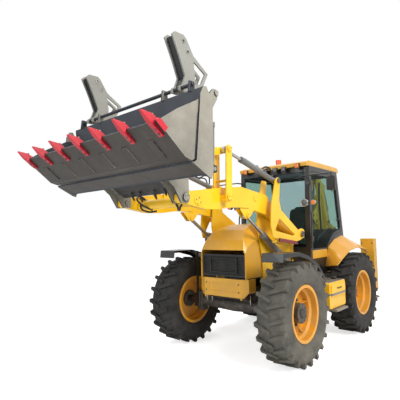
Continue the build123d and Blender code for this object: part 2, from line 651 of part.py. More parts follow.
# Fork carriers on the bar along the bucket's top
fork_outline = [(4323, 3860), (4281, 3900), (4151, 3908), (4108, 3879), (4001, 3722), (3763, 3586), (3862, 3394),
                (4012, 3333), (4150, 3280), (4235, 3280), (4225, 3330), (4179, 3364), (4138, 3466), (4212, 3638)]
fork_window = [(4002, 3665), (3815, 3572), (3885, 3440), (3985, 3400), (3977, 3493)]
fork_web = [(4290, 3860), (4260, 3870), (4100, 3640), (4090, 3460), (4150, 3350), (4165, 3365), (4115, 3466),
            (4190, 3645)]
fork_y = 800.0
fork_plate = 18.0
fork_width = 130.0
with BuildPart() as fork_carriers:
    for y in (fork_y - fork_width / 2 + fork_plate / 2, fork_y + fork_width / 2 - fork_plate / 2):
        slab(fork_outline, y, fork_plate, 6)
        slab(fork_window, y, fork_plate + 2, 8, Mode.SUBTRACT)
    slab(fork_web, fork_y, fork_width - 2 * fork_plate)
    cross_pin(fork_bar, fork_y - fork_width, fork_y + fork_width, fork_bar_radius + pin_gap, Mode.SUBTRACT)
    for at in ((4157, 3839), (4091, 3741)):
        cross_pin(at, fork_y - fork_width, fork_y + fork_width, 14, Mode.SUBTRACT)
    mirror(about=Plane.XZ)
save(fork_carriers, "fork_carriers")

# Cab: hollow frame with its windows cut
cab_half = tyre_inner_y - 70.0
cab_wall = 45.0
window_half = cab_half - 80.0
roof_bottom = 2885.0
cab_outline = [(1030, 1060), (1015, 1400), (955, roof_bottom - seat_gap), (-215, roof_bottom - seat_gap), (-405, 1740), (-420, 1450), (-420, 1060)]
cab_inside = [(985, 1110), (970, 1400), (910, 2830), (-175, 2850), (-360, 1740), (-375, 1450), (-375, 1110)]
door_opening = [(960, 1430), (920, 2790), (-165, 2810), (-330, 1800), (-250, 1745), (0, 1690), (230, 1540),
                (340, 1430)]
hinge_x = 968.0
hinge_y = cab_half + 14.0
hinge_heights = (1600.0, 2550.0)
window_low = 1500.0
window_high = 2790.0
rear_window_low = 1800.0
with BuildPart() as cab_frame:
    slab(cab_outline, 0, 2 * cab_half)
    slab(cab_inside, 0, 2 * (cab_half - cab_wall), mode=Mode.SUBTRACT)
    slab(door_opening, 0, 2 * cab_half + 10, 20, Mode.SUBTRACT)
    block(880, 1060, -window_half, window_half, window_low, window_high, Mode.SUBTRACT)
    block(-450, -120, -window_half, window_half, rear_window_low, window_high, Mode.SUBTRACT)
    for hand in (-1, 1):
        foot_out = hand * (cab_half - 60)
        for x in (-300, 800):
            block(x, x + 100, min(hand * (rail_y - 10), foot_out), max(hand * (rail_y - 10), foot_out),
                  rail_top + seat_gap, rail_top + 20)
            block(x, x + 100, min(foot_out - hand * 100, foot_out), max(foot_out - hand * 100, foot_out),
                  rail_top + seat_gap, 1060)
    for hand in (-1, 1):
        for z in hinge_heights:
            block(hinge_x - 8, hinge_x + 20, min(hand * (cab_half - 10), hand * (hinge_y + 8)),
                  max(hand * (cab_half - 10), hand * (hinge_y + 8)), z - 20, z - 2)
            upright_pin(hinge_x, hand * hinge_y, z - 10, z + 95, 8)
save(cab_frame, "cab_frame")

with BuildPart() as cab_glass:
    low, high = window_low + seat_gap, window_high - seat_gap
    slab([(988, low), (994, low), (942, high), (936, high)], 0, 2 * (window_half - seat_gap))
    low = rear_window_low + seat_gap
    slab([(-390, low), (-384, low), (-220, high), (-226, high)], 0, 2 * (window_half - seat_gap))
save(cab_glass, "cab_glass")

# Roof: a crowned cap that overhangs the frame
with BuildPart() as cab_roof:
    slab([(1015, roof_bottom), (1005, 2945), (880, 2990), (-220, 2985), (-320, 2950), (-330, roof_bottom)], 0,
         2 * (cab_half - 15))
    chamfer(cab_roof.faces().sort_by(Axis.Z)[-1].edges(), 20)
save(cab_roof, "cab_roof")

# Doors: frame ring with one pane, hinged on the front pillar
door_thickness = 40.0
door_ring = 38.0
door_gap = 5.0
door_y = cab_half - 22
door_outline = [(953, 1437), (913, 2783), (-159, 2803), (-322, 1803), (-248, 1752), (3, 1697), (234, 1546), (343, 1437)]
for name, hand in (("left", 1), ("right", -1)):
    with BuildPart() as door:
        with BuildSketch(side(hand * door_y)) as ring:
            with BuildLine():
                Polyline(*door_outline, close=True)
            make_face()
            offset(amount=-door_ring, mode=Mode.SUBTRACT)
        extrude(to_extrude=ring.sketch, amount=door_thickness / 2, both=True)
        for z in hinge_heights:
            upright_pin(hinge_x, hand * hinge_y, z, z + 90, 14)
            block(hinge_x - 80, hinge_x, min(hand * (cab_half + 2), hand * (cab_half + 10)),
                  max(hand * (cab_half + 2), hand * (cab_half + 10)), z, z + 90)
            block(hinge_x - 80, hinge_x - 50, min(hand * (cab_half - 10), hand * (cab_half + 10)),
                  max(hand * (cab_half - 10), hand * (cab_half + 10)), z, z + 90)
            upright_pin(hinge_x, hand * hinge_y, z - 5, z + 95, 9, Mode.SUBTRACT)
    save(door, f"door_{name}")
    with BuildPart() as pane:
        with BuildSketch(side(hand * door_y)) as window:
            with BuildLine():
                Polyline(*door_outline, close=True)
            make_face()
            offset(amount=-door_ring - seat_gap, mode=Mode.REPLACE)
        extrude(to_extrude=window.sketch, amount=3, both=True)
    save(pane, f"door_glass_{name}")

# Inside the cab: seat on its stand, console with wheel
with BuildPart() as cab_seat:
    block(-60, 440, -250, 250, 1500, 1620)
    slab([(-60, 1500), (60, 1500), (-20, 2250), (-140, 2250)], 0, 460)
save(cab_seat, "cab_seat")

with BuildPart() as cab_console:
    block(20, 360, -200, 200, 1110 + seat_gap, 1500 - seat_gap)
    block(20, 880, -60, 60, 1110 + seat_gap, 1160)
    slab([(700, 1110 + seat_gap), (880, 1110 + seat_gap), (880, 1600), (800, 1720), (640, 1700)], 0, 300)
    bar((640, 1660), (560, 1790), 0, 22)
    wheel_plane = Plane(origin=(rear_axle_x + 560, 0, 1790), x_dir=(0, 1, 0), z_dir=(-0.52, 0, 0.85))
    with BuildSketch(wheel_plane) as steering_rim:
        Circle(190)
        Circle(165, mode=Mode.SUBTRACT)
        Rectangle(360, 30)
    extrude(to_extrude=steering_rim.sketch, amount=12, both=True)
save(cab_console, "cab_console")

# Rear fenders and side tanks with their steps
fender_top_inner = [(456, 1160), (317, 1483), (49, 1608), (-317, 1679), (-988, 1525), (-1080, 1440)]
fender_top_outer = [(671, 1203), (398, 1310), (80, 1420), (-290, 1462), (-724, 1415), (-860, 1330)]
rear_fender_y = half_track + 3.0
tank_rear = tyre_radius + 50.0
tank_front = wheelbase - tyre_radius - steer_room
tank_inner_y = cab_half - 40.0
tank_outer_y = half_track + 143.0
tank_bottom = 600.0
tank_top = 1000.0
tank_corner = 45.0
lid_reach = 22.0               # bulged lid on the tank's outer side
step_outer_y = tank_outer_y + 70.0
step_depth = 220.0
step_heights = (560.0, 800.0)
with BuildPart() as body_panels:
    for hand in (-1, 1):
        with BuildSketch(side(hand * (cab_half + seat_gap))) as inner_edge:
            with BuildLine():
                Polyline(*fender_top_inner, *[(x, z - 12) for x, z in reversed(fender_top_inner)], close=True)
            make_face()
        with BuildSketch(side(hand * rear_fender_y)) as outer_edge:
            with BuildLine():
                Polyline(*fender_top_outer, *[(x, z - 12) for x, z in reversed(fender_top_outer)], close=True)
            make_face()
        loft(sections=[inner_edge.sketch, outer_edge.sketch], ruled=True)
        with BuildSketch(side(hand * (tank_inner_y + tank_outer_y) / 2)) as tank:
            with Locations(((tank_rear + tank_front) / 2, (tank_bottom + tank_top) / 2)):
                RectangleRounded(tank_front - tank_rear, tank_top - tank_bottom, tank_corner)
        extrude(to_extrude=tank.sketch, amount=(tank_outer_y - tank_inner_y) / 2, both=True)
        with BuildSketch(side(hand * tank_outer_y)) as lid:
            with Locations(((tank_rear + tank_front) / 2, tank_top - 130)):
                RectangleRounded(tank_front - tank_rear - 90, 190, 30)
        extrude(to_extrude=lid.sketch, amount=lid_reach, both=True)
        for z, reach in zip(step_heights, (0.0, -36.0)):
            y0, y1 = hand * (step_outer_y - step_depth + reach), hand * (step_outer_y + reach)
            block(tank_rear + 90, tank_front - 90, min(y0, y1), max(y0, y1), z, z + 28)
        for x in (tank_rear + 100, tank_front - 128):
            slab([(x, step_heights[0]), (x + 28, step_heights[0]), (x + 28, tank_bottom + 20), (x, tank_bottom + 20)],
                 hand * (step_outer_y - step_depth / 2 - 30), step_depth / 2)
        for x in (tank_rear + 60, tank_front - 110):
            block(x, x + 60, min(hand * tower_foot_y, hand * tank_inner_y), max(hand * tower_foot_y, hand * tank_inner_y),
                  850, 920)
save(body_panels, "body_panels")

# Lamps, mirrors and beacon on the cab
lamp_x = 1100.0
stalk_radius = 11.0
stalk_y = cab_half - 10.0
mirror_y = stalk_y + 450.0
with BuildPart() as lamps:
    for y, z in ((270, 2840), (100, 2840), (530, 2868), (-530, 2868)):
        block(1015 + seat_gap, 1062, y - 40, y + 40, z - 18, z + 62)
    cross_pin((lamp_x, 2700), stalk_y - 6, mirror_y, stalk_radius)
    upright_pin(lamp_x, mirror_y, 2400, 2700, stalk_radius)
    with BuildSketch(across(lamp_x + 8)) as housing:
        with Locations((mirror_y + 2, 2530)):
            RectangleRounded(140, 220, 22)
    extrude(to_extrude=housing.sketch, amount=28)
    block(963.2, lamp_x + 8, stalk_y - 8, stalk_y + 8, 2690, 2710)
    block(981.4, lamp_x + 8, stalk_y - 70, stalk_y + 8, 2240, 2256)
    upright_pin(lamp_x, stalk_y, 2190, 2300, stalk_radius)
    cross_pin((lamp_x, 2242), stalk_y, stalk_y + 159, stalk_radius)
    for y, radius in ((stalk_y, 62), (stalk_y + 159, 40)):
        bar((lamp_x, 2242), (lamp_x + 62, 2242), y, radius)
    mirror(about=Plane.XZ)
    upright_pin(210, -300, 2988, 3100, 30)
    upright_pin(210, -300, 3090, 3200, 55)
save(lamps, "lamps_and_mirrors")

# Rear frame: two beams for the side shift and a housing for each stabiliser
beam_rear = -1300.0
beam_front = -1120.0
frame_half = 770.0
leg_y = 900.0
leg_half = 55.0
leg_bore = leg_half + 1.0
leg_x = -1210.0
with BuildPart() as rear_frame:
    for z0, z1 in ((550, 670), (1120, 1240)):
        block(beam_rear, beam_front, -frame_half, frame_half, z0, z1)
    block(beam_front, beam_front + 20, -500, 500, 600, 1240)
    for hand in (-1, 1):
        block(beam_rear, beam_front, min(hand * 640, hand * frame_half), max(hand * 640, hand * frame_half), 550, 1240)
        block(leg_x - 88, leg_x + 88, min(hand * (frame_half - 1), hand * 1023), max(hand * (frame_half - 1), hand * 1023),
              1100, 1590)
        block(leg_x - 88, leg_x + 88, min(hand * (frame_half - 1), hand * 1023), max(hand * (frame_half - 1), hand * 1023),
              560, 1101)
        block(leg_x - leg_bore, leg_x + leg_bore, min(hand * (leg_y - leg_bore), hand * (leg_y + leg_bore)),
              max(hand * (leg_y - leg_bore), hand * (leg_y + leg_bore)), 540, 1570, Mode.SUBTRACT)
save(rear_frame, "rear_frame")

for name, hand in (("left", 1), ("right", -1)):
    with BuildPart() as leg:
        block(leg_x - leg_half, leg_x + leg_half, hand * leg_y - leg_half, hand * leg_y + leg_half, 440, 1540)
        block(leg_x - 150, leg_x + 150, hand * leg_y - 115, hand * leg_y + 115, 400, 430)
        block(leg_x - 30, leg_x + 30, hand * leg_y - 50, hand * leg_y + 50, 425, 445)
    save(leg, f"stabiliser_{name}")

# Backhoe, folded, in the upright plane at backhoe_y
backhoe_y = -400.0
slew_x = -1550.0
foot_pin = (-1780.0, 800.0)
boom_cylinder_base = (-1500.0, 1220.0)
boom_cylinder_eye = (-1320.0, 2120.0)
dipper_cylinder_base = (-1468.0, 1990.0)
dipper_pin = (-1660.0, 3100.0)
dipper_tail = (-1450.0, 3340.0)
digger_pin = (-2260.0, 1500.0)
rocker_pin = (-2084.0, 1968.0)
rocker_end = (-2431.0, 1807.0)
digger_link_pin = (-2472.5, 1443.1)
digger_cylinder_base = (-2030.0, 2830.0)
digger_lean = 25.0             # the bucket is curled this far towards the boom

with BuildPart() as carriage:
    block(-1356, -1306, backhoe_y - 300, backhoe_y + 300, 525, 1265)
    block(-1310, -1250, backhoe_y - 280, backhoe_y + 280, 1241, 1265)
    block(-1310, -1250, backhoe_y - 280, backhoe_y + 280, 525, 549)
    for z in (600, 1100):
        block(slew_x, -1350, backhoe_y - 90, backhoe_y + 90, z, z + 40)
        upright_pin(slew_x, backhoe_y, z, z + 40, 90)
        upright_pin(slew_x, backhoe_y, z - 5, z + 45, 51, Mode.SUBTRACT)
save(carriage, "carriage")

cheek_y = 112.0
cheek = 24.0
with BuildPart() as kingpost:
    upright_pin(slew_x, backhoe_y, 600, 1142, 50)
    upright_pin(slew_x, backhoe_y, 646, 1094, 82)
    for y in (backhoe_y - cheek_y, backhoe_y + cheek_y):
        slab([(-1860, 790), (-1850, 740), (-1790, 715), (-1700, 720), (-1600, 650), (-1510, 650), (-1510, 1085),
              (-1620, 1085), (-1650, 1000), (-1840, 860)], y, cheek, 8)
        slab([(-1740, 900), (-1655, 940), (-1655, 1153), (-1440, 1160), (-1440, 1270), (-1530, 1280), (-1740, 1150)],
             y, cheek, 8)
    block(-1590, -1510, backhoe_y - cheek_y, backhoe_y + cheek_y, 650, 700)
    block(-1590, -1510, backhoe_y - cheek_y, backhoe_y + cheek_y, 1040, 1085)
    cross_pin(foot_pin, backhoe_y - cheek_y - 30, backhoe_y + cheek_y + 30, 40)
    cross_pin(boom_cylinder_base, backhoe_y - cheek_y - 20, backhoe_y + cheek_y + 20, 30)
save(kingpost, "kingpost")

boom_outline = [(-1700, 740), (-1655, 1250), (-1580, 1700), (-1530, 2000), (-1515, 2150), (-1520, 2500),
                (-1590, 3050), (-1600, 3130), (-1660, 3170), (-1725, 3130), (-1740, 3050), (-1745, 2500),
                (-1755, 1250), (-1860, 820), (-1850, 750), (-1780, 725)]
boom_ear_y = 70.0
with BuildPart() as boom:
    slab(boom_outline, backhoe_y, 176, 12)
    slab([(-1480, 2640), (-1560, 2560), (-1760, 2560), (-1800, 3240), (-1540, 3240)], backhoe_y, 124,
         mode=Mode.SUBTRACT)
    for y in (backhoe_y - boom_ear_y, backhoe_y + boom_ear_y):
        slab([(-1540, 1900), (-1440, 1940), (-1275, 2080), (-1270, 2150), (-1330, 2175), (-1540, 2350)], y, plate, 10)
    cross_pin(dipper_cylinder_base, backhoe_y - boom_ear_y - 14, backhoe_y + boom_ear_y + 14, 28)
    for y0 in (backhoe_y - boom_ear_y - 12, backhoe_y + boom_ear_y):
        cross_pin(boom_cylinder_eye, y0, y0 + 12, 44)
    cross_pin(dipper_pin, backhoe_y - 100, backhoe_y + 100, 32)
    cross_pin(foot_pin, backhoe_y - 120, backhoe_y + 120, 40 + pin_gap, Mode.SUBTRACT)
save(boom, "boom")

dipper_outline = [(-1410, 3300), (-1405, 3380), (-1480, 3388), (-1620, 3310), (-1765, 3180), (-1840, 3060),
                  (-2060, 2380), (-2325, 1570), (-2330, 1470), (-2270, 1430), (-2200, 1455), (-2120, 1640),
                  (-1880, 2420), (-1745, 2860), (-1640, 3030), (-1560, 3130), (-1480, 3260)]
dipper_body = [(-1945, 2740), (-2060, 2380), (-2170, 2045), (-2020, 2000), (-1890, 2400), (-1822, 2620)]
with BuildPart() as dipper:
    slab(dipper_outline, backhoe_y, 110, 10)
    slab(dipper_body, backhoe_y, 160, 10)
    for y in (backhoe_y - 47, backhoe_y + 47):
        slab([(-1850, 2960), (-1985, 2890), (-2075, 2860), (-2075, 2790), (-1930, 2720)], y, plate, 10)
    slab([(-1392, 3190), (-1392, 3410), (-1600, 3410), (-1600, 3190)], backhoe_y, 64, mode=Mode.SUBTRACT)
    cross_pin(digger_cylinder_base, backhoe_y - 60, backhoe_y + 60, 25)
    for y0 in (backhoe_y - 63, backhoe_y + 33):
        cross_pin(dipper_tail, y0, y0 + 30, 38)
    cross_pin(rocker_pin, backhoe_y - 112, backhoe_y + 112, 25)
    cross_pin(dipper_pin, backhoe_y - 120, backhoe_y + 120, 32 + pin_gap, Mode.SUBTRACT)
    cross_pin(digger_pin, backhoe_y - 120, backhoe_y + 120, 30 + pin_gap, Mode.SUBTRACT)
save(dipper, "dipper")


def on_digger(points):
    """Points measured from the bucket's pin with its mouth facing forward, turned by its lean."""
    c, s = math.cos(math.radians(digger_lean)), math.sin(math.radians(digger_lean))
    return [(digger_pin[0] + u * c - v * s, digger_pin[1] + u * s + v * c) for u, v in points]


digger_half = 230.0
digger_wall = 14.0
digger_side = [(20, -110), (-255, -75), (-395, -195), (-430, -370), (-370, -545), (-220, -655), (20, -700)]
digger_inside = [(60, -125), (20, -124), (-250, -90), (-382, -202), (-415, -370), (-359, -537), (-213, -642),
                 (20, -686), (60, -686)]
digger_ear = [(48, 0), (30, 45), (-40, 52), (-210, 86), (-262, 42), (-262, -85), (30, -118)]
digger_ear_y = 75.0
with BuildPart() as digger_bucket:
    slab(on_digger(digger_side), backhoe_y, 2 * digger_half)
    slab(on_digger(digger_inside), backhoe_y, 2 * (digger_half - digger_wall), mode=Mode.SUBTRACT)
    for y in (backhoe_y - digger_ear_y, backhoe_y + digger_ear_y):
        slab(on_digger(digger_ear), y, plate, 8)
    for y in (-200, -100, 0, 100, 200):
        slab(on_digger([(-90, -712), (-90, -670), (0, -680), (12, -720), (6, -790), (-4, -790), (-30, -720)]),
             backhoe_y + y, 50)
    cross_pin(digger_pin, backhoe_y - 90, backhoe_y + 90, 30)
    cross_pin(digger_link_pin, backhoe_y - 88, backhoe_y + 88, 25)
save(digger_bucket, "digger_bucket")

with BuildPart() as rocker:
    for y in (backhoe_y - digger_ear_y, backhoe_y + digger_ear_y):
        strut(rocker_pin, rocker_end, y, plate, 45, 42)
    for y0 in (backhoe_y - 112, backhoe_y + digger_ear_y - plate / 2):
        cross_pin(rocker_end, y0, y0 + 112 - digger_ear_y + plate / 2, 24)
    cross_pin(rocker_pin, backhoe_y - 120, backhoe_y + 120, 25 + pin_gap, Mode.SUBTRACT)
save(rocker, "rocker")

with BuildPart() as digger_link:
    for y in (backhoe_y - 97, backhoe_y + 97):
        strut(rocker_end, digger_link_pin, y, 14, 42, 42)
    cross_pin(rocker_end, backhoe_y - 130, backhoe_y + 130, 24 + pin_gap, Mode.SUBTRACT)
    for y0 in (backhoe_y - 112, backhoe_y + 90):
        cross_pin(digger_link_pin, y0, y0 + 22, 25)
save(digger_link, "digger_link")

backhoe_cylinders = [
    ("boom", boom_cylinder_base, boom_cylinder_eye, 760, 46, 28, 30, 28, 80, 62, 55, (61, 61)),
    ("dipper", dipper_cylinder_base, dipper_tail, 700, 42, 25, 28, 25, 56, 594, 55, (31, 31)),
    ("digger", digger_cylinder_base, rocker_end, 600, 38, 23, 25, 24, 60, 360, 55, (66, 66)),
]
for name, base, eye, length, radius, rod_radius, base_pin, eye_pin, eye_width, start, hollow, reach in backhoe_cylinders:
    with BuildPart() as barrel:
        barrel_of(base, eye, backhoe_y, length, radius, rod_radius + rod_gap, base_pin, eye_width, hollow)
    save(barrel, f"{name}_barrel")
    with BuildPart() as rod:
        rod_of(base, eye, backhoe_y, start, rod_radius, eye_pin, eye_width, reach)
    save(rod, f"{name}_rod")
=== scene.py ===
import bpy
import math
import numpy as np
from mathutils import Matrix, Vector


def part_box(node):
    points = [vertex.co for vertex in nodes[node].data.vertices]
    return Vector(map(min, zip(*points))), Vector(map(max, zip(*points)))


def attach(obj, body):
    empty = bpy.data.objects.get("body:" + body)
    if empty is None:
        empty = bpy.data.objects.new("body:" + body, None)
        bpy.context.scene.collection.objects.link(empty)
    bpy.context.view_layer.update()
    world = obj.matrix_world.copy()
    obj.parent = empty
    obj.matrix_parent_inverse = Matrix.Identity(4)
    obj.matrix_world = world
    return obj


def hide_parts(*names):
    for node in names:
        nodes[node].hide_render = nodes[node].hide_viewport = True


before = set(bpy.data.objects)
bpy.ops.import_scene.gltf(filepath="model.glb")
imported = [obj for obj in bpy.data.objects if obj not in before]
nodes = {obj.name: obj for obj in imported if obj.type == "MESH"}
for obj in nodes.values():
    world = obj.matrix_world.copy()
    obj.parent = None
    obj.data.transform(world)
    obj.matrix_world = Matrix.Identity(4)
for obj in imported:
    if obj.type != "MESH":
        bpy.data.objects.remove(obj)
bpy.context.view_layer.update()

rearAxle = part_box("rim_rear_left")
axleX = (rearAxle[0].x + rearAxle[1].x) / 2  # every x below is measured forward of the rear axle
print("stage: machine loaded,", len(nodes), "solids")

# Camera at the photograph's place
camera = dict(place=(7.024, 3.590, 1.823), yaw=221.47, pitch=4.53, roll=-1.17, lens=34.66)


def makeCamera(c):
    yaw, pitch, roll = (math.radians(c[k]) for k in ("yaw", "pitch", "roll"))
    ahead = Vector((math.cos(yaw) * math.cos(pitch), math.sin(yaw) * math.cos(pitch), math.sin(pitch)))
    right = ahead.cross(Vector((0, 0, 1))).normalized()
    above = right.cross(ahead)
    rolledRight = right * math.cos(roll) + above * math.sin(roll)
    rolledUp = above * math.cos(roll) - right * math.sin(roll)
    turn = Matrix((rolledRight, rolledUp, -ahead)).transposed().to_4x4()
    data = bpy.data.cameras.new("camera")
    data.lens, data.sensor_width = c["lens"], 36.0
    data.clip_end = 200.0
    seen = bpy.data.objects.new("camera", data)
    x, y, z = c["place"]
    seen.matrix_world = Matrix.Translation((x + axleX, y, z)) @ turn
    bpy.context.scene.collection.objects.link(seen)
    bpy.context.scene.camera = seen


makeCamera(camera)
print("stage: camera set")


# A socket that can be used in sums
class Wire:
    def __init__(self, finish, socket):
        self.finish, self.socket = finish, socket

    def work(self, operation, *others, flip=False):
        values = (others[0], self) if flip else (self, *others)
        return self.finish.node("ShaderNodeMath", dict(operation=operation), *values)

    def __add__(self, other): return self.work("ADD", other)
    def __radd__(self, other): return self.work("ADD", other)
    def __sub__(self, other): return self.work("SUBTRACT", other)
    def __rsub__(self, other): return self.work("SUBTRACT", other, flip=True)
    def __mul__(self, other): return self.work("MULTIPLY", other)
    def __rmul__(self, other): return self.work("MULTIPLY", other)
    def __truediv__(self, other): return self.work("DIVIDE", other)
    def __pow__(self, other): return self.work("POWER", other)
    def __gt__(self, other): return self.work("GREATER_THAN", other)
    def __lt__(self, other): return self.work("LESS_THAN", other)

    def ramp(self, low, high):  # 0 below low, 1 above high, straight between
        return self.finish.node("ShaderNodeMapRange", dict(clamp=True), self, low, high, 0.0, 1.0)


# One material: nodes are made by a single method, values and links alike
class Finish:
    def __init__(self, name):
        self.material = bpy.data.materials.new(name)
        self.material.use_nodes = True
        self.tree = self.material.node_tree
        self.tree.nodes.clear()
        self.out = self.tree.nodes.new("ShaderNodeOutputMaterial")
        self.place = self.node("ShaderNodeTexCoord", {}, out="Object")

    def node(self, kind, settings, *values, out=0, **named):
        made = self.tree.nodes.new(kind)
        for key, value in settings.items():
            if key == "stops":
                ramp = made.color_ramp
                while len(ramp.elements) < len(value):
                    ramp.elements.new(0.5)
                for element, (spot, colour) in zip(ramp.elements, value):
                    element.position, element.color = spot, (*colour, 1.0)
            else:
                setattr(made, key, value)
        live = [s for s in made.inputs if s.enabled]
        for socket, value in list(zip(live, values)) + [(self.find(live, k), v) for k, v in named.items()]:
            if value is None:
                continue
            if isinstance(value, Wire):
                self.tree.links.new(value.socket, socket)
            else:
                socket.default_value = value
        outs = [s for s in made.outputs if s.enabled]
        return Wire(self, made.outputs[out] if isinstance(out, str) else outs[out])

    def find(self, sockets, key):
        wanted = key.replace("_", " ").lower()
        return next(s for s in sockets if s.name.lower() == wanted)

    def noise(self, scale, detail=4.0, rough=0.55, stretch=None, seed=0.0):
        spot = self.place
        if stretch or seed:
            spot = self.node("ShaderNodeMapping", {}, self.place, (seed, seed * 0.7, seed * 1.3), (0, 0, 0),
                             stretch or (1, 1, 1))
        return self.node("ShaderNodeTexNoise", {}, Vector=spot, Scale=scale, Detail=detail, Roughness=rough)

    def blend(self, share, first, second):
        return self.node("ShaderNodeMix", dict(data_type="RGBA"), share, first, second)

    def axis(self, letter):
        return self.node("ShaderNodeSeparateXYZ", {}, self.place, out="XYZ".index(letter.upper()))

    def lean(self, letter):  # one share of the face's own direction
        facing = self.node("ShaderNodeTexCoord", {}, out="Normal")
        return self.node("ShaderNodeSeparateXYZ", {}, facing, out="XYZ".index(letter.upper()))

    # soft corner normal, and how far it leans from the face: 0 on flats, 1 on sharp edges
    def edges(self, radius):
        soft = self.node("ShaderNodeBevel", dict(samples=6), radius)
        flat = self.node("ShaderNodeNewGeometry", {}, out="Normal")
        same = self.node("ShaderNodeVectorMath", dict(operation="DOT_PRODUCT"), soft, flat, out="Value")
        return soft, (1.0 - same) * 5.0

    def bump(self, height, strength, distance, normal=None):
        return self.node("ShaderNodeBump", {}, Strength=strength, Distance=distance, Height=height,
                         Normal=normal)

    def skin(self, fixed, **moving):
        shader = self.node("ShaderNodeBsdfPrincipled", {}, **moving)
        for key, value in fixed.items():
            shader.socket.node.inputs[key].default_value = value
        self.finish(shader)
        return self.material

    def finish(self, shader):
        self.tree.links.new(shader.socket, self.out.inputs["Surface"])


def shade(*screen):  # a colour's red, green and blue as seen on screen, made linear
    return tuple(((c / 255 + 0.055) / 1.055) ** 2.4 if c > 10 else c / 3294.6 for c in screen) + (1.0,)


# Sprayed paint: slow drift of shade, dust that gathers low down, chips along the edges
def paint(name, colour, rough=0.32, drift=0.10, dust=0.35, chips=0.35, corner=0.004, coat=0.25,
          bare=(96, 88, 80), regions=None):
    f = Finish(name)
    soft, sharp = f.edges(corner)
    slow = f.noise(1.7, 3.0)
    fine = f.noise(38.0, 6.0, 0.7)
    darker = tuple(c * (1 - 2 * drift) for c in colour[:3]) + (1.0,)
    body = f.blend(slow.ramp(0.3, 0.7), darker, colour)
    for share, other in (regions(f) if regions else []):  # parts of the solid that have a colour of their own
        body = f.blend(share, body, other)
    low = 1.0 - f.axis("z").ramp(0.35, 1.6)
    settled = (f.noise(6.0, 7.0, 0.68).ramp(0.42, 0.78) * (low * 0.9 + 0.12)) * dust
    dusty = f.blend(settled, body, shade(150, 136, 112))
    worn = (sharp * fine.ramp(0.50, 0.62)).ramp(0.25, 0.6) * chips
    scratched = f.blend(worn, dusty, shade(*bare))
    peel = f.bump(f.noise(240.0, 2.0), 0.06, 0.002, soft)
    return f.skin({"Specular IOR Level": 0.5}, Base_Color=scratched,
                  Roughness=settled * 0.5 + worn * 0.3 + rough,
                  Coat_Weight=(1.0 - settled) * coat, Normal=peel)


# Worn plate steel of a bucket: scraped areas, long scratches, pale worn edges
def plateSteel(name, colour, scraped, rough=0.5, scrape=0.5, corner=0.004, regions=None):
    f = Finish(name)
    soft, sharp = f.edges(corner)
    clouds = f.noise(3.2, 8.0, 0.66)
    streaks = f.noise(5.0, 6.0, 0.7, stretch=(1.0, 9.0, 1.0))
    share = (clouds * 0.6 + streaks * 0.4).ramp(0.44, 0.62) * scrape
    body = f.blend(f.noise(1.3, 3.0).ramp(0.35, 0.65), tuple(c * 0.78 for c in colour[:3]) + (1.0,), colour)
    body = f.blend(share, body, scraped)
    for part, other, rubbed in (regions(f) if regions else []):
        body = f.blend(part, body, f.blend(share, other, rubbed))
    worn = (sharp * f.noise(30.0, 5.0, 0.7).ramp(0.4, 0.6)).ramp(0.15, 0.6) * 0.6
    body = f.blend(worn, body, shade(190, 186, 178))
    pitted = f.bump(f.noise(90.0, 6.0, 0.75), 0.25, 0.003, soft)
    return f.skin({"Specular IOR Level": 0.45}, Base_Color=body, Roughness=share * -0.12 + rough,
                  Metallic=worn * 0.6 + 0.12, Normal=pitted)


# Tyre rubber: grey bloom, dust on the tread, moulded rings on the wall round the axle at x, z
def tyreRubber(name, colour, dust, x, z=0.69, cover=0.0):
    f = Finish(name)
    clouds = f.noise(4.0, 7.0, 0.65)
    fine = f.noise(60.0, 5.0, 0.7)
    low = 1.0 - f.axis("z").ramp(0.0, 0.9)
    across, up = f.axis("x") - (x + axleX), f.axis("z") - z
    reach = (across * across + up * up) ** 0.5
    share = (clouds * 0.65 + fine * 0.35 + cover).ramp(0.40, 0.68) * (low * 0.4 + 0.6)
    body = f.blend(share, colour, dust)
    groove = f.node("ShaderNodeMath", dict(operation="SINE"), reach * 520.0)
    rings = groove * (reach > 0.335) * (reach < 0.40) + groove * (reach > 0.475) * (reach < 0.50)
    grain = f.bump(rings, 0.5, 0.003, f.bump(f.noise(170.0, 5.0, 0.6), 0.35, 0.002))
    return f.skin({"Specular IOR Level": 0.35}, Base_Color=body, Roughness=share * 0.12 + 0.72, Normal=grain)


def plastic(name, colour, rough=0.5, grain=0.15, corner=0.003, dust=0.25):
    f = Finish(name)
    soft, sharp = f.edges(corner)
    low = 1.0 - f.axis("z").ramp(0.3, 1.7)
    settled = f.noise(7.0, 6.0, 0.66).ramp(0.45, 0.75) * (low * 0.7 + 0.3) * dust
    scuffed = f.blend(sharp.ramp(0.1, 0.8) * 0.25, colour, shade(120, 118, 112))
    body = f.blend(settled, scuffed, shade(138, 128, 110))
    return f.skin({"Specular IOR Level": 0.4}, Base_Color=body,
                  Roughness=f.noise(12.0, 3.0) * 0.15 + (rough - 0.07),
                  Normal=f.bump(f.noise(300.0, 3.0), grain, 0.001, soft))


def bareMetal(name, colour, rough=0.2, metallic=0.9, grain=0.1, corner=0.002):
    f = Finish(name)
    soft, sharp = f.edges(corner)
    streaks = f.noise(22.0, 5.0, 0.6)
    body = f.blend(streaks.ramp(0.35, 0.7), tuple(c * 0.75 for c in colour[:3]) + (1.0,), colour)
    return f.skin({"Specular IOR Level": 0.5}, Base_Color=body, Roughness=streaks * 0.2 + (rough - 0.08),
                  Metallic=f.noise(9.0, 4.0).ramp(0.2, 0.5) * 0.1 + (metallic - 0.1),
                  Normal=f.bump(streaks, grain, 0.001, soft))


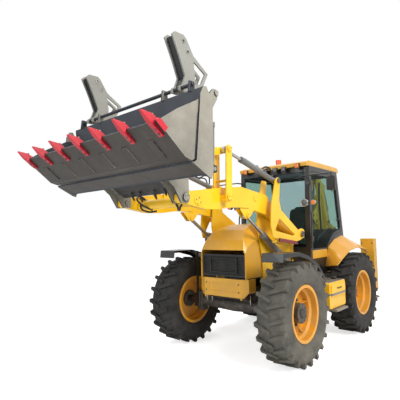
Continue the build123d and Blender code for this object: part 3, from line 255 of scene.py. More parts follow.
# Window glass: mostly see-through, tinted, with a grazing reflection and a trace of dust
def glazing(name, tint, veil=0.34):
    f = Finish(name)
    clear = f.node("ShaderNodeBsdfTransparent", {}, tint)
    film = f.noise(2.6, 6.0, 0.6)
    dusty = f.blend(film.ramp(0.4, 0.7), shade(28, 40, 38), shade(52, 66, 62))
    gloss = f.node("ShaderNodeBsdfPrincipled", {}, Base_Color=dusty,
                   Roughness=film.ramp(0.4, 0.8) * 0.08 + 0.04)
    grazing = f.node("ShaderNodeLayerWeight", {}, 0.35, out="Fresnel")
    within = f.node("ShaderNodeNewGeometry", {}, out="Backfacing")  # the pane's far face only tints
    f.finish(f.node("ShaderNodeMixShader", {}, (grazing * 0.45 + veil) * (1.0 - within), clear, gloss))
    return f.material


def lamp(name, colour, glow=0.0, ribs=120.0):
    f = Finish(name)
    lines = f.node("ShaderNodeTexWave", dict(wave_type="BANDS", bands_direction="Z"), Vector=f.place,
                   Scale=ribs, Distortion=0.0)
    spots = f.node("ShaderNodeTexVoronoi", {}, Vector=f.place, Scale=90.0)
    body = f.blend(spots.ramp(0.1, 0.7) * 0.5, colour, tuple(c * 0.55 for c in colour[:3]) + (1.0,))
    return f.skin({"Coat Weight": 0.3, "Coat Roughness": 0.1, "Emission Strength": glow}, Base_Color=body,
                  Roughness=f.noise(14.0) * 0.1 + 0.08, Emission_Color=body, Normal=f.bump(lines, 0.3, 0.002))


def cloth(name, colour, weave=900.0):
    f = Finish(name)
    across = f.node("ShaderNodeTexWave", dict(bands_direction="Y"), Vector=f.place, Scale=weave * 0.31,
                    Distortion=0.6)
    along = f.node("ShaderNodeTexWave", dict(bands_direction="Z"), Vector=f.place, Scale=weave * 0.31,
                   Distortion=0.6)
    threads = across * 0.5 + along * 0.5
    body = f.blend(f.noise(9.0, 5.0).ramp(0.35, 0.7) * 0.6 + threads * 0.2, colour,
                   tuple(min(1, c * 1.9 + 0.01) for c in colour[:3]) + (1.0,))
    return f.skin({"Sheen Weight": 0.25}, Base_Color=body, Roughness=threads * 0.1 + 0.8,
                  Normal=f.bump(threads, 0.4, 0.001))


def tankRegions(f):  # the tanks are a brighter yellow than the fenders, their steps and tops bare grey
    side, up = f.axis("y") * f.axis("y"), f.axis("z")
    tank = (f.axis("x") > 0.70 + axleX) * (side > 0.60 ** 2)
    bare = tank * (1.0 - (up > 0.595) * (up < 0.799) - (up > 0.829) * (up < 0.992))
    return [(tank, shade(250, 190, 32)), (bare, shade(122, 118, 110)),
            (tank * (side > 1.175 ** 2), shade(122, 118, 110))]


def bucketRegions(f):  # down-facing faces painted darker and the floor's underside darker still: painted shade; slate inside, pale side plates and lugs
    side, up, ahead = f.lean("y") * f.lean("y"), f.lean("z"), f.lean("x")
    outer = side > 0.5
    place = f.axis("y") * f.axis("y")
    within = (place < 1.20 ** 2) * (place > 0.75 ** 2)
    # faces that point down get a darker colour, and those of the floor near the lip darker still: painted shade
    floor = (f.axis("x") > 4.262 + axleX) * (1.0 - outer) * (up < -0.15)
    return [((1.0 - outer) * (up < -0.15), shade(84, 79, 72), shade(104, 97, 88)),
            (floor, shade(62, 57, 52), shade(80, 74, 67)),
            ((1.0 - outer) * ((up > 0.05) + (ahead > 0.35)).ramp(0.0, 1.0) * (1.0 - floor), shade(36, 41, 50),
             shade(52, 57, 65)),
            (outer * within, shade(40, 45, 54), shade(56, 60, 68))]


def rimRegions(f):  # dark hub in the middle of each rim
    across, up = f.axis("x") - axleX, f.axis("z") - 0.69
    near = (across * across + up * up) ** 0.5
    ahead = f.axis("x") - (2.2 + axleX)
    front = (ahead * ahead + up * up) ** 0.5
    return [((near < 0.137) + (front < 0.137), shade(46, 44, 43))]


def lampRegions(f):  # the beacon on the roof is orange
    return [(f.axis("z") > 3.101, shade(232, 92, 30))]


def legRegions(f):  # bare dark foot under each stabiliser
    return [(f.axis("z") < 0.446, shade(52, 50, 48))]


def barRegions(f):  # slanted dark bands on the red lock bar
    return [((f.node("ShaderNodeMath", dict(operation="SINE"), (f.axis("x") + f.axis("z")) * 78.0) > 0.1),
             shade(38, 34, 34))]


finishes = dict(
    bandedPaint=paint("bandedPaint", shade(176, 34, 34), rough=0.45, dust=0.3, chips=0.2, regions=barRegions),
    yellowPaint=paint("yellowPaint", shade(255, 202, 28), rough=0.33),
    amberPaint=paint("amberPaint", shade(222, 165, 46), rough=0.34),
    rimPaint=paint("rimPaint", shade(236, 164, 38), rough=0.4, dust=0.6, chips=0.25, regions=rimRegions),
    lampBody=paint("lampBody", shade(26, 27, 28), rough=0.4, dust=0.2, chips=0.1, regions=lampRegions),
    legPaint=paint("legPaint", shade(232, 166, 36), dust=0.5, regions=legRegions),
    chassisPaint=paint("chassisPaint", shade(44, 43, 41), rough=0.55, dust=0.55, coat=0.0),
    blackPaint=paint("blackPaint", shade(26, 27, 28), rough=0.38, dust=0.2, chips=0.12),
    forkPaint=paint("forkPaint", shade(150, 150, 143), rough=0.5, dust=0.2, bare=(92, 88, 82), coat=0.0),
    redPaint=paint("redPaint", shade(204, 16, 44), rough=0.42, dust=0.2, chips=0.5, bare=(150, 110, 104)),
    cylinderPaint=paint("cylinderPaint", shade(112, 112, 110), rough=0.42, dust=0.3),
    bucketSteel=plateSteel("bucketSteel", shade(142, 138, 127), shade(168, 164, 153), regions=bucketRegions),
    diggerSteel=plateSteel("diggerSteel", shade(96, 92, 86), shade(138, 132, 122), scrape=0.6),
    panelPaint=paint("panelPaint", shade(226, 160, 38), rough=0.34, dust=0.45, regions=tankRegions),
    hubPaint=paint("hubPaint", shade(50, 48, 46), rough=0.5, dust=0.5, coat=0.0),
    grilleMesh=plastic("grilleMesh", shade(16, 16, 17), rough=0.55),
    # the near front tyre: a lit copy of the black tyre rubber, grey with paler dust, painted light
    litTyrePaintedLight=tyreRubber("litTyrePaintedLight", shade(60, 60, 57), shade(118, 114, 104), 2.2, cover=0.05),
    frontTyre=tyreRubber("frontTyre", shade(26, 26, 27), shade(78, 76, 72), 2.2),
    rearTyre=tyreRubber("rearTyre", shade(26, 26, 27), shade(78, 75, 70), 0.0),
    moulding=plastic("moulding", shade(30, 31, 32)),
    hoseRubber=plastic("hoseRubber", shade(24, 24, 25), rough=0.45, corner=0.001),
    rodSteel=bareMetal("rodSteel", shade(206, 206, 204), rough=0.16),
    pinSteel=bareMetal("pinSteel", shade(112, 108, 102), rough=0.42, metallic=0.75),
    glass=glazing("glass", shade(226, 236, 236), veil=0.10),
    doorGlass=glazing("doorGlass", shade(214, 232, 224), veil=0.11),
    clearLens=lamp("clearLens", shade(104, 110, 112), glow=0.0),
    orangeLens=lamp("orangeLens", shade(238, 120, 22), glow=0.35),
    mirrorGlass=bareMetal("mirrorGlass", shade(196, 204, 208), rough=0.1, grain=0.0),
    seatCloth=cloth("seatCloth", shade(40, 42, 46)),
)
print("stage: finishes mixed,", len(finishes))

# Which solids wear each finish
dressing = dict(
    yellowPaint="loader_towers loader_arm levers links carriage kingpost boom dipper rocker digger_link",
    amberPaint="hood front_bumper cab_roof rear_frame",
    chassisPaint="chassis_frame engine_block front_axle rear_axle",
    blackPaint="cab_frame knuckle_left knuckle_right door_left door_right",
    moulding="front_grille cab_console", glass="cab_glass", doorGlass="door_glass_left door_glass_right",
    seatCloth="cab_seat", panelPaint="body_panels", lampBody="lamps_and_mirrors",
    bucketSteel="bucket_back bucket_clam", redPaint="bucket_teeth", forkPaint="fork_carriers",
    diggerSteel="digger_bucket", legPaint="stabiliser_left stabiliser_right",
    cylinderPaint="lift_barrels tilt_barrels clam_barrels boom_barrel dipper_barrel digger_barrel",
    rodSteel="lift_rods tilt_rods clam_rods boom_rod dipper_rod digger_rod",
    rimPaint="rim_front_left rim_front_right rim_rear_left rim_rear_right",
    litTyrePaintedLight="tyre_front_left", frontTyre="tyre_front_right", rearTyre="tyre_rear_left tyre_rear_right")
looks = {name: look for look, group in dressing.items() for name in group.split()}
for name, solid in nodes.items():
    solid.data.materials.clear()
    solid.data.materials.append(finishes[looks.get(name, "chassisPaint")])
print("stage: solids dressed")


# Grid of points to a mesh: faces join each point to its next along and across; wrap closes a direction
def gridSurface(name, points, material, wrapAlong=False, wrapAcross=False, smooth=True, flip=False, caps=False):
    along, across = points.shape[:2]
    ids = np.arange(along * across).reshape(along, across)
    if wrapAlong:
        ids = np.vstack([ids, ids[:1]])
    if wrapAcross:
        ids = np.hstack([ids, ids[:, :1]])
    quads = np.stack([ids[:-1, :-1], ids[1:, :-1], ids[1:, 1:], ids[:-1, 1:]], -1).reshape(-1, 4)
    if flip:
        quads = quads[:, ::-1]
    faces = quads.tolist()
    if caps:  # the first and last rings are closed with one face each
        ends = [ids[0, :across].tolist(), ids[-1, :across][::-1].tolist()]
        faces += [e[::-1] for e in ends] if flip else ends
    mesh = bpy.data.meshes.new(name)
    mesh.from_pydata(points.reshape(-1, 3).tolist(), [], faces)
    mesh.validate()
    mesh.update()
    if smooth:
        mesh.polygons.foreach_set("use_smooth", np.ones(len(mesh.polygons), dtype=bool))
    mesh.materials.append(material)
    made = bpy.data.objects.new(name, mesh)
    bpy.context.scene.collection.objects.link(made)
    return made


def softened(piece, width, segments=3, angle=32):  # rounded corners with clean shading
    bevel = piece.modifiers.new("corners", "BEVEL")
    bevel.width, bevel.segments = width, segments
    bevel.limit_method, bevel.angle_limit = "ANGLE", math.radians(angle)
    bevel.harden_normals = True
    piece.data.polygons.foreach_set("use_smooth", np.ones(len(piece.data.polygons), dtype=bool))
    return piece


def joined(name, parts):  # several made pieces become one, each keeping its finish
    with bpy.context.temp_override(active_object=parts[0], selected_editable_objects=parts, object=parts[0]):
        bpy.ops.object.join()
    parts[0].name = name
    return parts[0]


# Upright outline (x forward of the rear axle, z) carried across the machine from y0 to y1
def plateSurface(name, outline, y0, y1, material):
    flat = np.array(outline, float)
    turn = np.sum(flat[:, 0] * np.roll(flat[:, 1], -1) - np.roll(flat[:, 0], -1) * flat[:, 1])
    if turn < 0:
        flat = flat[::-1]
    ys = np.array([min(y0, y1), max(y0, y1)])
    points = np.stack([np.broadcast_to(flat[:, 0] + axleX, (2, len(flat))),
                       np.repeat(ys[:, None], len(flat), 1),
                       np.broadcast_to(flat[:, 1], (2, len(flat)))], -1)
    return gridSurface(name, points, material, wrapAcross=True, smooth=False, caps=True)


# Circle of the given radius carried along a path of points; each ring turns as little as possible
def tubeSurface(name, path, radius, material, sides=16, caps=True):
    path = np.array(path, float)
    ahead = np.gradient(path, axis=0)
    ahead /= np.linalg.norm(ahead, axis=1, keepdims=True)
    first = np.cross(ahead[0], [0, 0, 1.0])
    if np.linalg.norm(first) < 1e-3:
        first = np.cross(ahead[0], [0, 1.0, 0])
    sidesOf = [first / np.linalg.norm(first)]
    for a in ahead[1:]:
        s = sidesOf[-1] - a * np.dot(sidesOf[-1], a)
        sidesOf.append(s / np.linalg.norm(s))
    s = np.array(sidesOf)[:, None, :]
    t = np.cross(ahead, np.array(sidesOf))[:, None, :]
    turn = np.linspace(0, 2 * np.pi, sides, endpoint=False)[None, :, None]
    radii = np.broadcast_to(np.asarray(radius, float).reshape(-1, 1, 1), (len(path), 1, 1))
    points = path[:, None, :] + radii * (np.cos(turn) * s + np.sin(turn) * t)
    return gridSurface(name, points, material, wrapAcross=True, caps=caps)


def smoothPath(points, count=40):  # Catmull-Rom curve through the points
    p = np.array(points, float)
    p = np.vstack([2 * p[0] - p[1], p, 2 * p[-1] - p[-2]])
    spots = np.linspace(0, len(p) - 3 - 1e-9, count)
    i = spots.astype(int)
    t = (spots - i)[:, None]
    a, b, c, d = p[i], p[i + 1], p[i + 2], p[i + 3]
    return 0.5 * (2 * b + (c - a) * t + (2 * a - 5 * b + 4 * c - d) * t ** 2 + (3 * b - a - 3 * c + d) * t ** 3)


# Closed profile of (radius, y) turned about a line along y through (x, z)
def turned(name, profile, x, z, material, steps=96):
    p = np.array(profile, float)
    turn = np.linspace(0, 2 * np.pi, steps, endpoint=False)[:, None]
    points = np.stack([x + axleX + p[None, :, 0] * np.cos(turn),
                       np.broadcast_to(p[None, :, 1], (steps, len(p))),
                       z + p[None, :, 0] * np.sin(turn)], -1)
    return gridSurface(name, points, material, wrapAlong=True, wrapAcross=True)


def hexHeads(name, spots, radius, height, direction, material):  # bolt heads: low six-sided blocks at each spot
    direction = np.array(direction, float) / np.linalg.norm(direction)
    first = np.cross(direction, [0.3, 0.9, 0.2])
    first /= np.linalg.norm(first)
    second = np.cross(direction, first)
    turn = np.linspace(0, 2 * np.pi, 6, endpoint=False)
    ring = np.cos(turn)[:, None] * first + np.sin(turn)[:, None] * second
    heads = []
    for spot in spots:
        rings = np.array([(0.0, 1.0), (0.8, 1.0), (1.0, 0.82)])
        wide, high = rings[:, None, None, 1] * radius, rings[:, None, None, 0] * height
        points = np.array(spot)[None, None, :] + wide * ring[None] + high * direction
        heads.append(gridSurface(name, points, material, wrapAcross=True, smooth=False, caps=True))
    return joined(name, heads) if len(heads) > 1 else heads[0]


def spot(x, y, z):  # a place in the machine, x forward of the rear axle
    return np.array((x + axleX, y, z), float)


def discSpots(x, y, z, radius, count, start=0.0):  # places on a circle about a line along y
    turn = start + np.arange(count) * 2 * np.pi / count
    return np.stack([x + axleX + radius * np.cos(turn), np.full(count, y), z + radius * np.sin(turn)], -1)


# Chamfered cap on a pin's end: radius and height as shares of its own
capProfile = np.array([(1.0, 0.0), (1.0, 0.6), (0.88, 1.0), (0.45, 1.0), (0.40, 0.78), (0.02, 0.78)])


def pinHead(name, x, y, z, hand, radius, material, body, bolts=0, thickness=0.012):
    turn = np.linspace(0, 2 * np.pi, 40, endpoint=False)[:, None]
    reach, height = radius * capProfile[None, :, 0], thickness * capProfile[None, :, 1]
    points = np.stack([x + axleX + reach * np.cos(turn), y + hand * height + 0 * turn,
                       z + reach * np.sin(turn)], -1)
    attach(gridSurface(name, points, material, wrapAlong=True, flip=hand > 0), body)
    if bolts:
        spots = discSpots(x, y + hand * thickness, z, radius * 0.7, bolts, 0.4)
        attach(hexHeads(name + "Bolts", spots, radius * 0.13, 0.006, (0, hand, 0), finishes["pinSteel"]), body)


# Wheels: bolts round each hub and its cap, nuts with washers on the disc, a drain plug and a valve
wheel = dict(halfTrack=0.990, axle=0.69, skin=0.008, hubRing=0.121, hubBolts=12, capRing=0.088, capBolts=8,
             nutRing=0.172, nuts=10, nutTurn=0.1, hubHead=(0.0085, 0.011), capHead=(0.0075, 0.009),
             nutHead=(0.018, 0.022), plug=(0.012, 0.012), washer=0.026, valveRing=0.298, valveTurn=1.1,
             valve=0.0045, cap=0.062, capHeight=0.020)
# x, hand, hub face, disc
wheelPlaces = dict(front_left=(2.2, 1, 0.12, -0.01), front_right=(2.2, -1, 0.12, -0.01),
                   rear_left=(0.0, 1, 0.02, -0.06), rear_right=(0.0, -1, 0.02, -0.06))
for place, (x, hand, hubFront, discPlace) in wheelPlaces.items():
    body = "wheel_" + place
    z = wheel["axle"]
    face = hand * (wheel["halfTrack"] + hubFront)
    disc = hand * (wheel["halfTrack"] + discPlace + wheel["skin"])
    out, steel = (0, hand, 0), finishes["pinSteel"]
    nutSpots = discSpots(x, disc + hand * 0.004, z, wheel["nutRing"], wheel["nuts"], wheel["nutTurn"])
    hubSpots = discSpots(x, face, z, wheel["hubRing"], wheel["hubBolts"])
    capSpots = discSpots(x, face, z, wheel["capRing"], wheel["capBolts"], 0.2)
    parts = [hexHeads("hubBolts", hubSpots, *wheel["hubHead"], out, steel),
             hexHeads("capBolts", capSpots, *wheel["capHead"], out, steel),
             hexHeads("rimNuts", nutSpots, *wheel["nutHead"], out, steel),
             hexHeads("drainPlug", [spot(x + 0.045, face, z - 0.03)], *wheel["plug"], out, steel)]
    parts += [tubeSurface("washer", [s, s + np.array((0, hand * 0.004, 0))], wheel["washer"], steel, sides=20)
              for s in discSpots(x, disc, z, wheel["nutRing"], wheel["nuts"], wheel["nutTurn"])]
    wall = discSpots(x, disc + hand * 0.03, z, wheel["valveRing"], 1, wheel["valveTurn"])[0]
    lean = np.array([(0, 0, 0), (-0.006, hand * 0.03, -0.008), (-0.012, hand * 0.06, -0.02)])
    stem = smoothPath(wall + lean, 8)
    parts.append(tubeSurface("valve", stem, wheel["valve"], steel, sides=10))
    for piece in parts:
        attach(piece, body)
    pinHead("hubCap", x, face, z, hand, wheel["cap"], finishes["hubPaint"], body, thickness=wheel["capHeight"])
print("stage: wheels dressed")

# Pivot pins: capped heads on both sides of each joint, keeper bolts where the head is large
pivots = [  # name, x, y, z, radius, finish, body, bolts
    ("armPin", 1.280, 0.700, 1.735, 0.050, "pinSteel", "chassis", 3),
    ("tiltBasePin", 1.965, 0.694, 2.545, 0.040, "pinSteel", "chassis", 0),
    ("leverPin", 3.170, 0.686, 2.230, 0.046, "yellowPaint", "loader_arm", 3),
    ("leverTopPin", 3.150, 0.686, 2.850, 0.040, "yellowPaint", "levers", 3),
    ("bucketPin", 3.888, 0.615, 2.202, 0.052, "bucketSteel", "bucket", 3),
    ("linkPin", 3.900, 0.612, 2.660, 0.046, "bucketSteel", "bucket", 3),
    ("liftEyePin", 2.620, 0.581, 2.020, 0.038, "yellowPaint", "loader_arm", 3),
    ("liftBasePin", 1.450, 0.575, 1.270, 0.038, "pinSteel", "chassis", 0),
    ("armBoss", 2.420, 0.565, 2.265, 0.048, "yellowPaint", "loader_arm", 0),
    ("crossBoss", 3.640, 0.565, 2.175, 0.060, "yellowPaint", "loader_arm", 4),
    ("earPin", 4.060, 1.218, 3.200, 0.030, "bucketSteel", "clam", 0)]
for name, x, y, z, radius, look, body, bolts in pivots:
    for hand in (1, -1):
        pinHead(name, x, hand * y, z, hand, radius, finishes[look], body, bolts)
print("stage: pins capped")

# Front: mesh behind the grille's bars, its screws, the hood's seal and latches, the bumper's bolts and rods
front = dict(mesh=2.4485, half=0.378, low=1.165, high=1.432, weave=0.0015, threads=900, screws=2.4693,
             seal=0.006, sealHeight=1.118, latch=0.022, bumper=2.512, rod=0.009, rodX=2.31, rodTop=0.865,
             rodFoot=0.72)
across, up = np.linspace(-front["half"], front["half"], 120), np.linspace(front["low"], front["high"], 50)
u, v = np.meshgrid(across, up, indexing="ij")
threads = front["weave"] * np.sin(u * front["threads"]) * np.sin(v * front["threads"])
weave = gridSurface("grilleMesh", np.stack([front["mesh"] + axleX + threads, u, v], -1), finishes["grilleMesh"])
rimSpots = [spot(front["screws"], y, z) for y in (-0.39, 0.39) for z in (1.15, 1.30, 1.445)]
rimSpots += [spot(front["screws"], y, z) for y in (-0.13, 0.13) for z in (1.15, 1.447)]
hoodFoot = [(1.10, 0.424), (2.44, 0.424), (2.484, 0.38), (2.484, -0.38), (2.44, -0.424), (1.10, -0.424)]  # x, y
seal = tubeSurface("hoodSeal", [spot(x, y, front["sealHeight"]) for x, y in hoodFoot], front["seal"],
                   finishes["hoseRubber"], sides=8)
for piece in (weave, seal, hexHeads("grilleScrews", rimSpots, 0.006, 0.004, (1, 0, 0), finishes["pinSteel"])):
    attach(piece, "chassis")
for hand in (1, -1):
    for z in (1.33, 1.42):
        pinHead("latch", 1.70, hand * 0.426, z, hand, front["latch"], finishes["pinSteel"], "chassis", 0, 0.006)
bumperSpots = [spot(front["bumper"], y, z) for y in (-0.30, 0.30) for z in (0.93, 1.04)]
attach(hexHeads("bumperBolts", bumperSpots, 0.012, 0.008, (1, 0, 0), finishes["pinSteel"]), "chassis")
for y in (-0.46, -0.36, 0.36):
    ends = [spot(front["rodX"], y, front["rodTop"]), spot(front["rodX"], y, front["rodFoot"])]
    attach(tubeSurface("bumperRod", ends, front["rod"], finishes["rodSteel"], sides=12), "chassis")
print("stage: front dressed")

# Lamps: bezel and domed lens turned about a line along x, work lamps on the roof, beacon dome, mirror glass
# x, y, z, radius, lens
lampSpots = [(1.162, 0.690, 2.242, 0.058, "clearLens"), (1.162, 0.849, 2.242, 0.037, "orangeLens")]
bezel = np.array([(1.0, -0.012), (1.10, -0.012), (1.12, 0.004), (1.06, 0.010), (0.95, 0.008), (0.92, 0.0)])
dome = np.array([(0.94, 0.001), (0.75, 0.008), (0.5, 0.012), (0.25, 0.014), (0.01, 0.0145)])
turn = np.linspace(0, 2 * np.pi, 48, endpoint=False)[:, None]
for x, y, z, radius, lens in lampSpots:
    for hand in (1, -1):
        for kind, profile, look in (("lampBezel", bezel, "rodSteel"), ("lampLens", dome, lens)):
            reach = radius * profile[None, :, 0]
            points = np.stack([x + axleX + profile[None, :, 1] + 0 * turn, hand * y + reach * np.cos(turn),
                               z + reach * np.sin(turn)], -1)
            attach(gridSurface(kind, points, finishes[look], wrapAlong=True), "chassis")
roof = dict(face=1.0628, halfWidth=0.034, halfHeight=0.032, bulge=0.006,
            heights=dict(clearLens=2.862, orangeLens=2.890))
for y, lens in ((0.27, "clearLens"), (0.10, "clearLens"), (0.53, "orangeLens"), (-0.53, "orangeLens"),
                (-0.27, "clearLens"),
                (-0.10, "clearLens")):
    w, h, z = roof["halfWidth"], roof["halfHeight"], roof["heights"][lens]
    u, v = np.meshgrid(np.linspace(-w, w, 16), np.linspace(-h, h, 16), indexing="ij")
    ahead = roof["face"] + axleX + roof["bulge"] * (1 - (u / w) ** 4) * (1 - (v / h) ** 4)
    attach(gridSurface("workLens", np.stack([ahead, y + u, z + v], -1), finishes[lens]), "chassis")
beacon = dict(x=0.21, y=-0.30, z=3.088, swell=1.08)
p = np.array([(0.056, 0.0), (0.056, 0.012), (0.050, 0.014), (0.050, 0.085), (0.046, 0.100), (0.034, 0.110),
              (0.015, 0.115),
              (0.001, 0.1155)])  # radius, height
reach = beacon["swell"] * p[None, :, 0]
points = np.stack([beacon["x"] + axleX + reach * np.cos(turn), beacon["y"] + reach * np.sin(turn),
                   beacon["z"] + p[None, :, 1] + 0 * turn], -1)
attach(gridSurface("beaconDome", points, finishes["orangeLens"], wrapAlong=True), "chassis")
mirror = dict(x=1.1075, y=1.132, z=2.53, halfWidth=0.058, halfHeight=0.098, hollow=0.003)
for hand in (1, -1):
    w, h = mirror["halfWidth"], mirror["halfHeight"]
    u, v = np.meshgrid(np.linspace(-w, w, 12), np.linspace(-h, h, 18), indexing="ij")
    ahead = mirror["x"] + axleX - mirror["hollow"] * (1 - (u / w) ** 2) + 0 * v
    face = np.stack([ahead, hand * (mirror["y"] + u), mirror["z"] + v], -1)
    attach(gridSurface("mirrorGlass", face, finishes["mirrorGlass"], flip=hand > 0), "chassis")
print("stage: lamps dressed")

# Hoses and pipes: a smooth curve through a few points; hoses end in crimped steel
hoses = [  # name, radius, finish, body, points forward of the rear axle
    ("tiltHose", 0.011, "hoseRubber", "tilt_barrels",
     [(2.02, 0.612, 2.605), (2.04, 0.60, 2.72), (2.16, 0.59, 2.74), (2.30, 0.60, 2.69), (2.42, 0.612, 2.72)]),
    ("tiltHose", 0.011, "hoseRubber", "tilt_barrels",
     [(2.05, 0.63, 2.61), (2.09, 0.64, 2.69), (2.20, 0.64, 2.70), (2.28, 0.63, 2.67)]),
    ("tiltPipe", 0.008, "rodSteel", "tilt_barrels",
     [(2.28, 0.63, 2.668), (2.50, 0.625, 2.722), (2.74, 0.62, 2.790), (2.78, 0.615, 2.780)]),
    ("liftHose", 0.011, "hoseRubber", "chassis",
     [(1.36, 0.452, 1.24), (1.35, 0.45, 1.31), (1.30, 0.45, 1.36), (1.23, 0.45, 1.33), (1.20, 0.448, 1.22)]),
    ("armPipe", 0.009, "yellowPaint", "loader_arm",
     [(1.42, 0.475, 1.86), (1.92, 0.475, 2.13), (2.14, 0.475, 2.27), (2.76, 0.475, 2.345),
      (3.55, 0.475, 2.255)]),
    ("armPipe", 0.009, "yellowPaint", "loader_arm",
     [(1.42, 0.475, 1.83), (1.94, 0.475, 2.10), (2.15, 0.475, 2.235), (2.76, 0.475, 2.31),
      (3.55, 0.475, 2.225)]),
    ("bucketHose", 0.012, "hoseRubber", "loader_arm",
     [(3.55, 0.475, 2.255), (3.70, 0.43, 2.30), (3.78, 0.38, 2.24), (3.74, 0.30, 2.16), (3.64, 0.24, 2.10)]),
    ("bucketHose", 0.012, "hoseRubber", "loader_arm",
     [(3.55, 0.475, 2.225), (3.68, 0.42, 2.20), (3.72, 0.36, 2.12), (3.66, 0.28, 2.08), (3.60, 0.20, 2.09)]),
    ("boomHose", 0.013, "hoseRubber", "boom",
     [(-1.72, -0.29, 0.95), (-1.70, -0.29, 1.30), (-1.66, -0.29, 1.80), (-1.62, -0.29, 2.40),
      (-1.64, -0.29, 2.90)]),
    ("boomHose", 0.013, "hoseRubber", "boom",
     [(-1.68, -0.29, 0.95), (-1.66, -0.29, 1.30), (-1.62, -0.29, 1.80), (-1.58, -0.29, 2.40),
      (-1.61, -0.29, 2.88)]),
    ("slewHose", 0.015, "hoseRubber", "chassis",
     [(-1.12, -0.20, 1.00), (-1.24, -0.22, 1.02), (-1.26, -0.28, 0.92), (-1.20, -0.34, 0.84)]),
    ("grabRail", 0.013, "blackPaint", "chassis",
     [(1.02, 0.715, 1.50), (1.035, 0.735, 1.54), (1.02, 0.735, 1.80), (0.998, 0.735, 2.05),
      (0.990, 0.715, 2.10)])]
oneSided = ("boomHose", "slewHose")
crimp = dict(along=(0, 0.35, 0.4, 1.0), swell=(1.45, 1.45, 1.2, 1.2))
for name, radius, look, body, points in hoses:
    for hand in ((1,) if name in oneSided else (1, -1)):
        path = smoothPath([spot(x, hand * y, z) for x, y, z in points], 48)
        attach(tubeSurface(name, path, radius, finishes[look], sides=14), body)
        if look == "hoseRubber":
            for a, b in ((path[0], path[2]), (path[-1], path[-3])):
                ends = np.array([a + (b - a) * t for t in crimp["along"]])
                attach(tubeSurface(name + "End", ends, np.array(crimp["swell"]) * radius, finishes["pinSteel"],
                                    sides=12), body)
print("stage: hoses laid")


# Rounded box: each wave raised to a low power, its upper side crowned and grooved, then leaned back in degrees
def cushion(name, centre, size, crown, lean, material, channels=0, puff=0.006):
    a = np.linspace(-np.pi / 2, np.pi / 2, 40)[:, None]
    b = np.linspace(0, 2 * np.pi, 64, endpoint=False)[None, :]
    squarer = lambda wave: np.sign(wave) * np.abs(wave) ** 0.32
    x, y = squarer(np.cos(a)) * squarer(np.cos(b)), squarer(np.cos(a)) * squarer(np.sin(b))
    z = squarer(np.sin(a)) * np.ones_like(b)
    top = np.clip(z, 0, 1) * crown * (1 - 0.5 * x ** 2) * (1 - 0.5 * y ** 2)
    if channels:
        top = top - puff * np.clip(z, 0, 1) * (np.abs(np.sin(np.pi * channels * (x + 1) / 2)) ** 0.3 < 0.75)
    local = np.stack([x * size[0] / 2, y * size[1] / 2, z * size[2] / 2 + top], -1)
    c, s = math.cos(math.radians(lean)), math.sin(math.radians(lean))
    leaned = np.stack([local[..., 0] * c - local[..., 2] * s, local[..., 1],
                       local[..., 0] * s + local[..., 2] * c], -1)
    return gridSurface(name, leaned + spot(*centre), material, wrapAcross=True, caps=False)


# Seat: base and back cushions with rolled edges, headrest, armrests on posts
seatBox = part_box("cab_seat")
seatLow, seatHigh = seatBox[0].z, seatBox[1].z
seat = [cushion("seatBase", (0.20, 0, seatLow + 0.075), (0.47, 0.48, 0.13), 0.018, 4, finishes["seatCloth"], 5),
        cushion("seatBack", (-0.045, 0, seatLow + 0.42), (0.60, 0.46, 0.11), 0.018, 97, finishes["seatCloth"],
                6),
        cushion("headRest", (-0.098, 0, seatHigh - 0.07), (0.15, 0.26, 0.08), 0.01, 97, finishes["seatCloth"])]
seatPiece = joined("seat", seat)
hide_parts("cab_seat")
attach(seatPiece, "chassis")
arm = dict(centre=(0.12, 0.285, 0.27), size=(0.30, 0.07, 0.05), foot=(0.02, 0.262, 0.12),
           head=(0.02, 0.275, 0.25), post=0.013)
for hand in (1, -1):
    place, foot, head = ((x, hand * y, seatLow + z) for x, y, z in (arm["centre"], arm["foot"], arm["head"]))
    rest = cushion("armRest", place, arm["size"], 0.004, 3, finishes["moulding"])
    post = tubeSurface("armPost", [spot(*foot), spot(*head)], arm["post"], finishes["moulding"], sides=12)
    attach(rest, "chassis")
    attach(post, "chassis")
# x, y
stick = dict(thickness=0.006, knob=(0.036, 0.036, 0.046), places=[(0.62, 0.12), (0.66, 0.15), (0.70, -0.13)])
for x, y in stick["places"]:
    line = smoothPath([spot(x + 0.06, y, 1.70), spot(x + 0.02, y * 1.15, 1.80), spot(x - 0.04, y * 1.3, 1.89)],
                      10)
    rod = tubeSurface("stick", line, stick["thickness"], finishes["rodSteel"], sides=10)
    knob = cushion("knob", (x - 0.045, y * 1.31, 1.905), stick["knob"], 0.0, 0, finishes["moulding"])
    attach(rod, "chassis")
    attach(knob, "chassis")
boss = tubeSurface("wheelBoss", [spot(0.573, 0, 1.765), spot(0.548, 0, 1.808)], np.array((0.045, 0.034)),
                   finishes["moulding"], sides=24)
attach(boss, "chassis")
print("stage: seat made")

